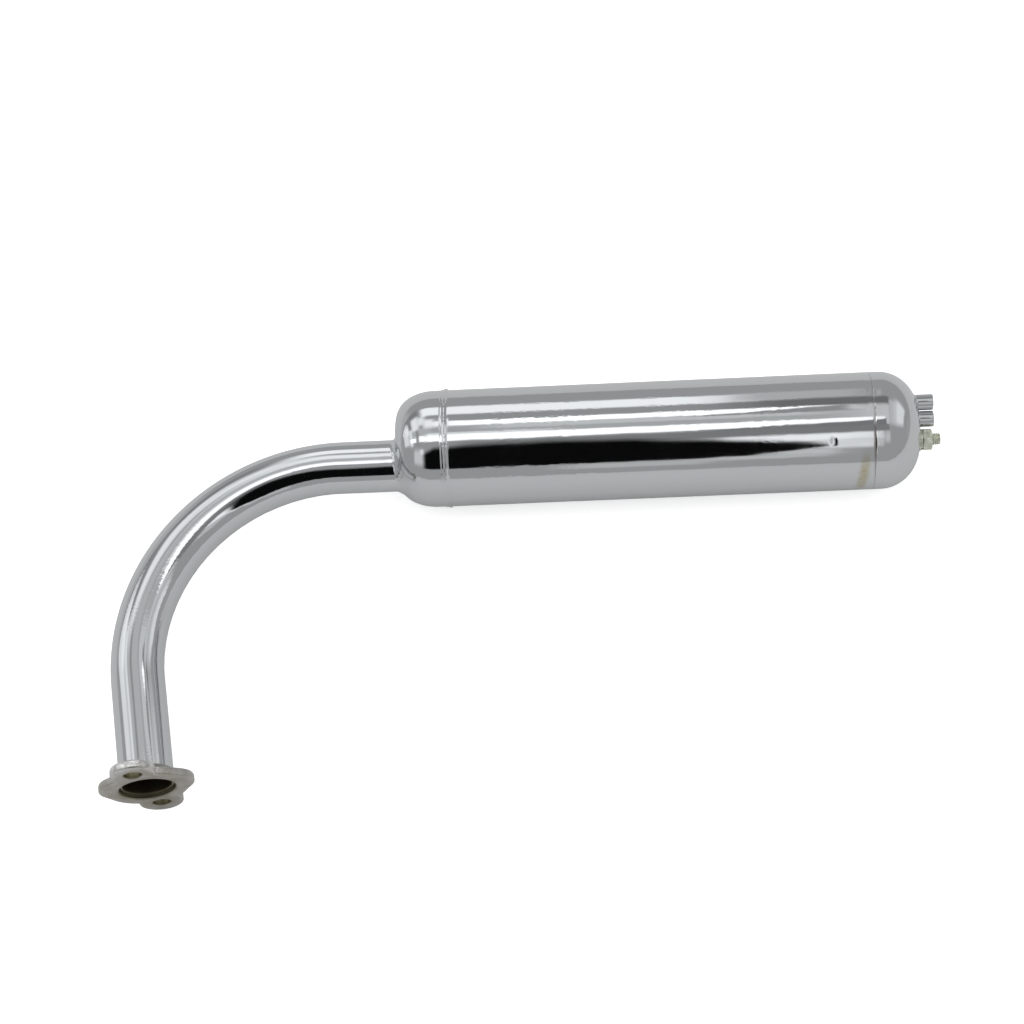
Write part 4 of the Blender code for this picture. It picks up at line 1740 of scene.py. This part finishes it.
@dataclass(frozen=True)
class SilencerCore:
    """The sleeve, the three baffles and the perforated tube behind the rear cap."""

    row: Row
    sleeve_radius: float = 4.6
    sleeve_bore: float = 3.5
    sleeve_start: float = 57.3
    sleeve_end: float = 253.0
    baffle_radius: float = 27.0
    sheet: float = 1.0
    rim: float = 5.0
    positions: Mapping[str, float] = field(
        default_factory=lambda: {"front": 78.0, "middle": 140.0, "rear": 204.0}
    )
    tube_radius: float = 8.0
    tube_wall: float = 1.0
    tube_start: float = 70.0
    tube_end: float = 150.0
    perforation: float = 1.9
    pitch: float = 9.0
    rows: int = 5
    bleed: float = 3.0
    outlet_radius: float = 3.9
    outlet_gap: float = 0.08
    gap: float = 0.25

    def baffle(self, name: str, x: float) -> bpy.types.Object:
        """Return one pressed baffle with its holes.

        Args:
            name: front, middle or rear.
            x: its place along the canister.

        Returns:
            The baffle.
        """
        outer, sheet = self.baffle_radius, self.sheet
        section = rounded_outline(
            [
                (x + self.rim, outer, 0.3), (x, outer, 2.0), (x, 0.0, 0.0),
                (x + sheet, 0.0, 0.0), (x + sheet, outer - sheet, 1.0), (x + self.rim, outer - sheet, 0.3),
            ],
            6,
        )
        turn = np.array([i for i, point in enumerate(section) if point[1] < 1e-9])
        start = int(turn[-1])
        profile = np.roll(section, -start, axis=0)
        piece = Shape().add_rings(turned(profile, 128), loop=False).to_object(f"{name}_baffle_plate")
        first, last = x - 2, x + sheet + 2
        cut(piece, hole(self.row.at(self.row.stud), self.sleeve_radius + self.gap, first, last))
        if name == "rear":
            for offset in (self.row.upper_outlet, self.row.lower_outlet):
                cut(piece, hole(self.row.at(offset), self.outlet_radius + self.outlet_gap, first, last))
        else:
            cut(piece, hole(self.row.at(self.row.baffle_tube), self.tube_radius + self.gap, first, last, 64))
        cut(piece, hole(self.row.at(self.row.bleed), self.bleed, first, last))
        return piece

    def perforated_tube(self) -> bpy.types.Object:
        """Return the tube between the two front baffles, with its rows of holes."""
        line = self.row.at(self.row.baffle_tube)
        bore = self.tube_radius - self.tube_wall
        section = tube_section((self.tube_start, self.tube_end), self.tube_radius, bore, (0.3,) * 4)
        piece = Shape().add_rings(turned(section, 96, line)).to_object("perforated_baffle_tube")
        pegs = Shape()
        middle = (self.positions["front"] + self.positions["middle"]) / 2
        angle = turns(24)
        for i in range(self.rows):
            x = middle + self.pitch * (i - (self.rows - 1) / 2)
            for out in (Vector((0, 1, 0)), Vector((0, -1, 0)), Vector((0, 0, 1)), Vector((0, 0, -1))):
                side = out.cross(Vector((1, 0, 0)))
                circle = np.cos(angle)[:, None] * np.array([1.0, 0, 0])
                circle = self.perforation * (circle + np.sin(angle)[:, None] * np.array(side))
                rings = [
                    np.array([x, *line]) + np.array(out) * distance + circle
                    for distance in (bore - 2, self.tube_radius + 2)
                ]
                pegs.add_rings(np.array(rings), loop=False, fill=True)
        cut(piece, pegs)
        return piece

    def build(self, dresser: Dresser) -> None:
        """Make the sleeve, the baffles and the tube.

        Args:
            dresser: gives each piece the finish of its slot and its body.
        """
        section = tube_section(
            (self.sleeve_start, self.sleeve_end), self.sleeve_radius, self.sleeve_bore, (0.25, 0.25, 0.2, 0.2)
        )
        sleeve = Shape().add_rings(turned(spread(section, 8.0), 64, self.row.at(self.row.stud)))
        dresser.dress(sleeve.to_object("tie_rod_sleeve"), Slot.STEEL, Body.CORE, "rod_sleeve")
        for name, x in self.positions.items():
            dresser.dress(self.baffle(name, x), Slot.STEEL, Body.CORE, f"{name}_baffle")
        dresser.dress(self.perforated_tube(), Slot.STEEL, Body.CORE, "baffle_tube")


# --------------------------------------------------------------------------- studio


@dataclass(frozen=True)
class Strip:
    """One even patch of light or shade on the tent, with soft edges.

    Places are metres along the canister from the zero, and degrees of lean from
    straight overhead towards -Y.
    """

    start: float
    end: float
    far: float
    near: float
    radiance: float
    soft_along: float = 0.03
    soft_lean: float = 1.5

    def cover(self, x: np.ndarray, lean: np.ndarray) -> np.ndarray:
        """Return the patch's share of the tent at each place.

        Args:
            x: places along the tent, in metres.
            lean: places across it, in degrees.

        Returns:
            The share, from 0 to 1.
        """
        along = ramp(x, self.start - self.soft_along, self.start + self.soft_along)
        along = along * (1 - ramp(x, self.end - self.soft_along, self.end + self.soft_along))
        across = ramp(lean, self.far - self.soft_lean, self.far + self.soft_lean)
        return along * across * (1 - ramp(lean, self.near - self.soft_lean, self.near + self.soft_lean))


@dataclass(frozen=True)
class Wedge:
    """A patch between two slanting edges, given by their lean at a few places along X."""

    x: tuple[float, ...]
    top: tuple[float, ...]
    low: tuple[float, ...]
    radiance: float
    top_soft: float = 1.5
    low_soft: float = 1.2
    fade: float = 0.02

    def cover(self, x: np.ndarray, lean: np.ndarray) -> np.ndarray:
        """Return the patch's share of the tent at each place.

        Args:
            x: places along the tent, in metres.
            lean: places across it, in degrees.

        Returns:
            The share, from 0 to 1.
        """
        top, low = np.interp(x, self.x, self.top), np.interp(x, self.x, self.low)
        inside = ramp(lean, top - self.top_soft, top + self.top_soft)
        inside = inside * (1 - ramp(lean, low - self.low_soft, low + self.low_soft))
        return inside * ramp(x, self.x[0], self.x[0] + self.fade) * (x < self.x[-1])


BLACK_FLAG = Wedge(
    x=(-0.22, -0.15, -0.05, 0.02, 0.07, 0.12, 0.16, 0.20, 0.24, 0.255),
    top=(41, 35, 29, 22, 22, 25, 31, 36, 45, 50),
    low=(66, 66, 67, 67, 67, 67, 67, 65, 56, 51),
    radiance=0.004,
    top_soft=5.5,
    fade=0.10,
)


@dataclass(frozen=True)
class LightTent:
    """A half-round tent close over the exhaust, lit in strips along it.

    Only reflections meet it, so it shapes the chrome and casts no light on the floor.
    """

    radius: float = 0.5
    half_length: float = 2.4
    lowest: float = 88.0
    along: int = 801
    across: int = 353
    base: float = 0.40
    patches: tuple[Strip | Wedge, ...] = (
        Strip(-2.4, -0.42, -90, -60, 0.53, 0.10, 6),
        Strip(-1.50, -0.62, -56, 16, 0.95, 0.20, 6),
        Strip(-0.95, -0.62, -42, -16, 1.12, 0.06, 5),
        Strip(-0.60, -0.45, -24, 20, 1.00, 0.05, 5),
        Strip(-0.45, -0.02, -16, 3, 0.58, 0.05, 4),
        Strip(-0.66, -0.22, -64, -50, 0.28, 0.05, 3),
        Strip(-0.60, -0.46, -62, -26, 0.32, 0.03, 3),
        Strip(-2.20, -0.62, -66, -60, 0.26, 0.10, 1.5),
        Strip(-0.44, -0.24, -46, -15, 1.08, 0.05, 5),
        Strip(-0.26, -0.12, -41, -23, 1.06, 0.05, 5),
        Strip(-0.14, 0.01, -32, -15, 1.16, 0.05, 4),
        Strip(-0.17, 0.20, -60, -41, 1.22, 0.05, 2.5),
        Strip(0.19, 0.28, -62, -44, 0.56, 0.02, 3),
        Strip(-0.02, 0.20, -39.5, -27, 0.38, 0.02, 1.5),
        Strip(0.19, 0.42, -42, -26, 0.20, 0.04, 3),
        Strip(0.00, 0.25, -16, 1, 0.52, 0.03, 1.5),
        Strip(0.02, 0.25, -16, -8, 0.72, 0.02, 2),
        Strip(-0.09, 0.06, -3, 2, 0.95, 0.03, 1.5),
        Strip(0.26, 0.42, -24, 16, 0.70, 0.03, 5),
        Strip(0.42, 0.62, -36, 16, 0.62, 0.05, 6),
        Strip(0.62, 1.30, -44, 16, 0.92, 0.14, 10),
        Strip(-0.01, 0.262, -26, -16.5, 1.60, 0.02, 1.2),
        Strip(-0.60, 0.30, 1, 13, 1.55, 0.035, 1.4),
        Wedge((0.15, 0.19, 0.27), (-15, -18, -27), (-14, -14, -14), 0.34, 1.2),
        Wedge((0.16, 0.20, 0.33), (13, 11.5, 4), (20, 20, 20), 0.24, 1.2),
        Strip(-0.33, -0.25, -14, 20, 0.36, 0.03, 3),
        Strip(0.00, 0.40, 16, 28, 0.26, 0.02, 1.5),
        Strip(-0.42, -0.16, 29, 60, 0.74, 0.05, 8),
        Strip(-0.24, -0.17, 28, 37, 0.95, 0.02, 2.5),
        Strip(0.175, 0.29, 29, 42, 1.18, 0.012, 3),
        Strip(0.245, 0.285, 40, 57, 0.95, 0.010, 4),
        Strip(0.29, 0.42, 30, 50, 0.66, 0.04, 6),
        Strip(0.215, 0.26, 57, 68, 0.68, 0.012, 3),
        Strip(0.16, 0.25, 66, 73, 0.62, 0.02, 2),
        Strip(0.07, 0.17, 69, 78, 0.58, 0.02, 2),
        BLACK_FLAG,
    )

    def radiance(self, x: np.ndarray, lean: np.ndarray) -> np.ndarray:
        """Return the tent's light at each place.

        Args:
            x: places along the tent, in metres.
            lean: places across it, in degrees.

        Returns:
            The light.
        """
        light = np.full(np.broadcast(x, lean).shape, self.base)
        for patch in self.patches:
            share = patch.cover(x, lean)
            light = light * (1 - share) + patch.radiance * share
        return light

    def build(self) -> None:
        """Make the tent and its light."""
        x = np.linspace(-self.half_length, self.half_length, self.along)[:, None]
        lean = np.linspace(-self.lowest, self.lowest, self.across)[None, :]
        turn = np.radians(lean)
        shape = np.broadcast(x, lean).shape
        points = np.stack(
            [
                np.broadcast_to(DATUM.x + x, shape),
                np.broadcast_to(DATUM.y - self.radius * np.sin(turn), shape),
                np.broadcast_to(DATUM.z + self.radius * np.cos(turn), shape),
            ],
            axis=-1,
        ).reshape(-1, 3)
        corner = np.arange(self.along - 1)[:, None] * self.across + np.arange(self.across - 1)[None, :]
        corner = corner.reshape(-1)
        faces = np.stack([corner, corner + 1, corner + self.across + 1, corner + self.across], axis=-1)
        mesh = bpy.data.meshes.new("light_tent")
        mesh.from_pydata(points, [], faces.tolist())
        layer = mesh.attributes.new("glow", "FLOAT", "POINT")
        layer.data.foreach_set("value", self.radiance(x, lean).astype(np.float32).reshape(-1))
        tent = bpy.data.objects.new("light_tent", mesh)
        bpy.context.scene.collection.objects.link(tent)
        made = bpy.data.materials.new("tent_light")
        made.use_nodes = True
        made.cycles.emission_sampling = "NONE"
        tree = made.node_tree
        tree.nodes.clear()
        glow = add_node(tree, "ShaderNodeAttribute", {"attribute_name": "glow"}).outputs["Fac"]
        light = add_node(tree, "ShaderNodeEmission", links={"Strength": glow})
        add_node(tree, "ShaderNodeOutputMaterial", links={"Surface": light.outputs[0]})
        mesh.materials.append(made)
        tent.visible_camera = False
        tent.visible_diffuse = False
        tent.visible_shadow = False


@dataclass(frozen=True)
class Studio:
    """A pale table lit from below, a soft fill overhead and the light tent."""

    floor_half: float = 4.0
    floor_seen: float = 0.97
    floor_mirrored: float = 0.53
    floor_glow: float = 0.42
    floor_gap: float = 0.2
    room: float = 0.43
    room_seen: float = 1.0
    fill_power: float = 8.0
    fill_height: float = 1.9
    fill_size: float = 1.9

    def build(self) -> None:
        """Make the room, the floor, the fill light and the tent."""
        scene = bpy.context.scene
        scene.view_settings.view_transform = "Standard"
        self.make_room(scene)
        self.make_floor()
        LightTent().build()
        fill = bpy.data.lights.new("overhead_fill", "AREA")
        fill.shape = "SQUARE"
        fill.size = self.fill_size
        fill.energy = self.fill_power
        lamp = bpy.data.objects.new("overhead_fill", fill)
        lamp.location = (0.0, 0.0, self.fill_height)
        lamp.visible_glossy = False
        scene.collection.objects.link(lamp)

    def make_room(self, scene: bpy.types.Scene) -> None:
        """Light the room: white all round, but grey where the chrome mirrors it.

        Args:
            scene: the scene it belongs to.
        """
        world = bpy.data.worlds.new("grey_room")
        world.use_nodes = True
        scene.world = world
        tree = world.node_tree
        tree.nodes.clear()
        mirrored = add_node(tree, "ShaderNodeLightPath").outputs["Is Glossy Ray"]
        strength = add_node(
            tree, "ShaderNodeMapRange", {"To Min": self.room_seen, "To Max": self.room}, {"Value": mirrored}
        )
        back = add_node(tree, "ShaderNodeBackground", links={"Strength": strength.outputs[0]})
        back.inputs["Color"].default_value = (1.0, 1.0, 1.0, 1.0)
        add_node(tree, "ShaderNodeOutputWorld", links={"Surface": back.outputs[0]})

    def make_floor(self) -> None:
        """Lay the pale floor just under the exhaust, with a glow that keeps its shadow faint."""
        half = self.floor_half
        low = CAD_BOX[0].z - self.floor_gap * MM
        mesh = bpy.data.meshes.new("pale_floor")
        corners = [(-half, -half, low), (half, -half, low), (half, half, low), (-half, half, low)]
        mesh.from_pydata(corners, [], [(0, 1, 2, 3)])
        floor = bpy.data.objects.new("pale_floor", mesh)
        bpy.context.scene.collection.objects.link(floor)
        made = bpy.data.materials.new("matt_white_paint")
        made.use_nodes = True
        tree = made.node_tree
        shader = tree.nodes["Principled BSDF"]
        shader.inputs["Roughness"].default_value = 0.9
        shader.inputs["Specular IOR Level"].default_value = 0.0
        seen = add_node(tree, "ShaderNodeLightPath").outputs["Is Camera Ray"]
        greys = {"To Min": self.floor_mirrored, "To Max": self.floor_seen}
        grey = add_node(tree, "ShaderNodeMapRange", greys, {"Value": seen})
        tree.links.new(grey.outputs[0], shader.inputs["Base Color"])
        glow = add_node(tree, "ShaderNodeMapRange", {"To Max": self.floor_glow}, {"Value": seen})
        shader.inputs["Emission Color"].default_value = (1.0, 1.0, 1.0, 1.0)
        tree.links.new(glow.outputs[0], shader.inputs["Emission Strength"])
        mesh.materials.append(made)


@dataclass(frozen=True)
class CameraRig:
    """The camera: above and in front, looking down, turned a little on its axis."""

    lens: float = 80.9
    sensor: float = 36.0
    distance: float = 1.115
    elevation: float = math.radians(64.4)
    azimuth: float = math.radians(-6.1)
    roll: float = math.radians(-7.83)
    aim: tuple[float, float, float] = (55.7, -36.1, 0.0)

    def build(self) -> None:
        """Make the camera and hand it to the scene."""
        data = bpy.data.cameras.new("studio_camera")
        data.lens = self.lens
        data.sensor_width = self.sensor
        data.clip_start, data.clip_end = 0.05, 20.0
        camera = bpy.data.objects.new("studio_camera", data)
        bpy.context.scene.collection.objects.link(camera)
        flat = math.cos(self.elevation)
        ahead = Vector(
            (math.sin(self.azimuth) * flat, math.cos(self.azimuth) * flat, -math.sin(self.elevation))
        )
        right = Vector((math.cos(self.azimuth), -math.sin(self.azimuth), 0.0))
        up = right.cross(ahead)
        side = right * math.cos(self.roll) + up * math.sin(self.roll)
        top = up * math.cos(self.roll) - right * math.sin(self.roll)
        target = Vector(DATUM.place(np.array(self.aim)))
        place = Matrix((side, top, -ahead)).transposed().to_4x4()
        place.translation = target - ahead * self.distance
        camera.matrix_world = place
        bpy.context.scene.camera = camera


def write_sizes() -> None:
    """Update the view layer."""
    bpy.context.view_layer.update()


def main() -> None:
    """Build the exhaust's sub-assemblies in order, then the studio and the camera."""
    logging.basicConfig(level=logging.INFO, format="%(name)s: %(message)s")
    dresser = Dresser(Finishes.make())
    pipe, row = HeaderPipe(), Row()
    for assembly in (
        pipe, Flange(pipe), Canister(pipe), RearCap(row), TieRod(row), CapFasteners(row), SilencerCore(row)
    ):
        assembly.build(dresser)
    Studio().build()
    CameraRig().build()
    write_sizes()


if __name__ == "__main__":
    main()
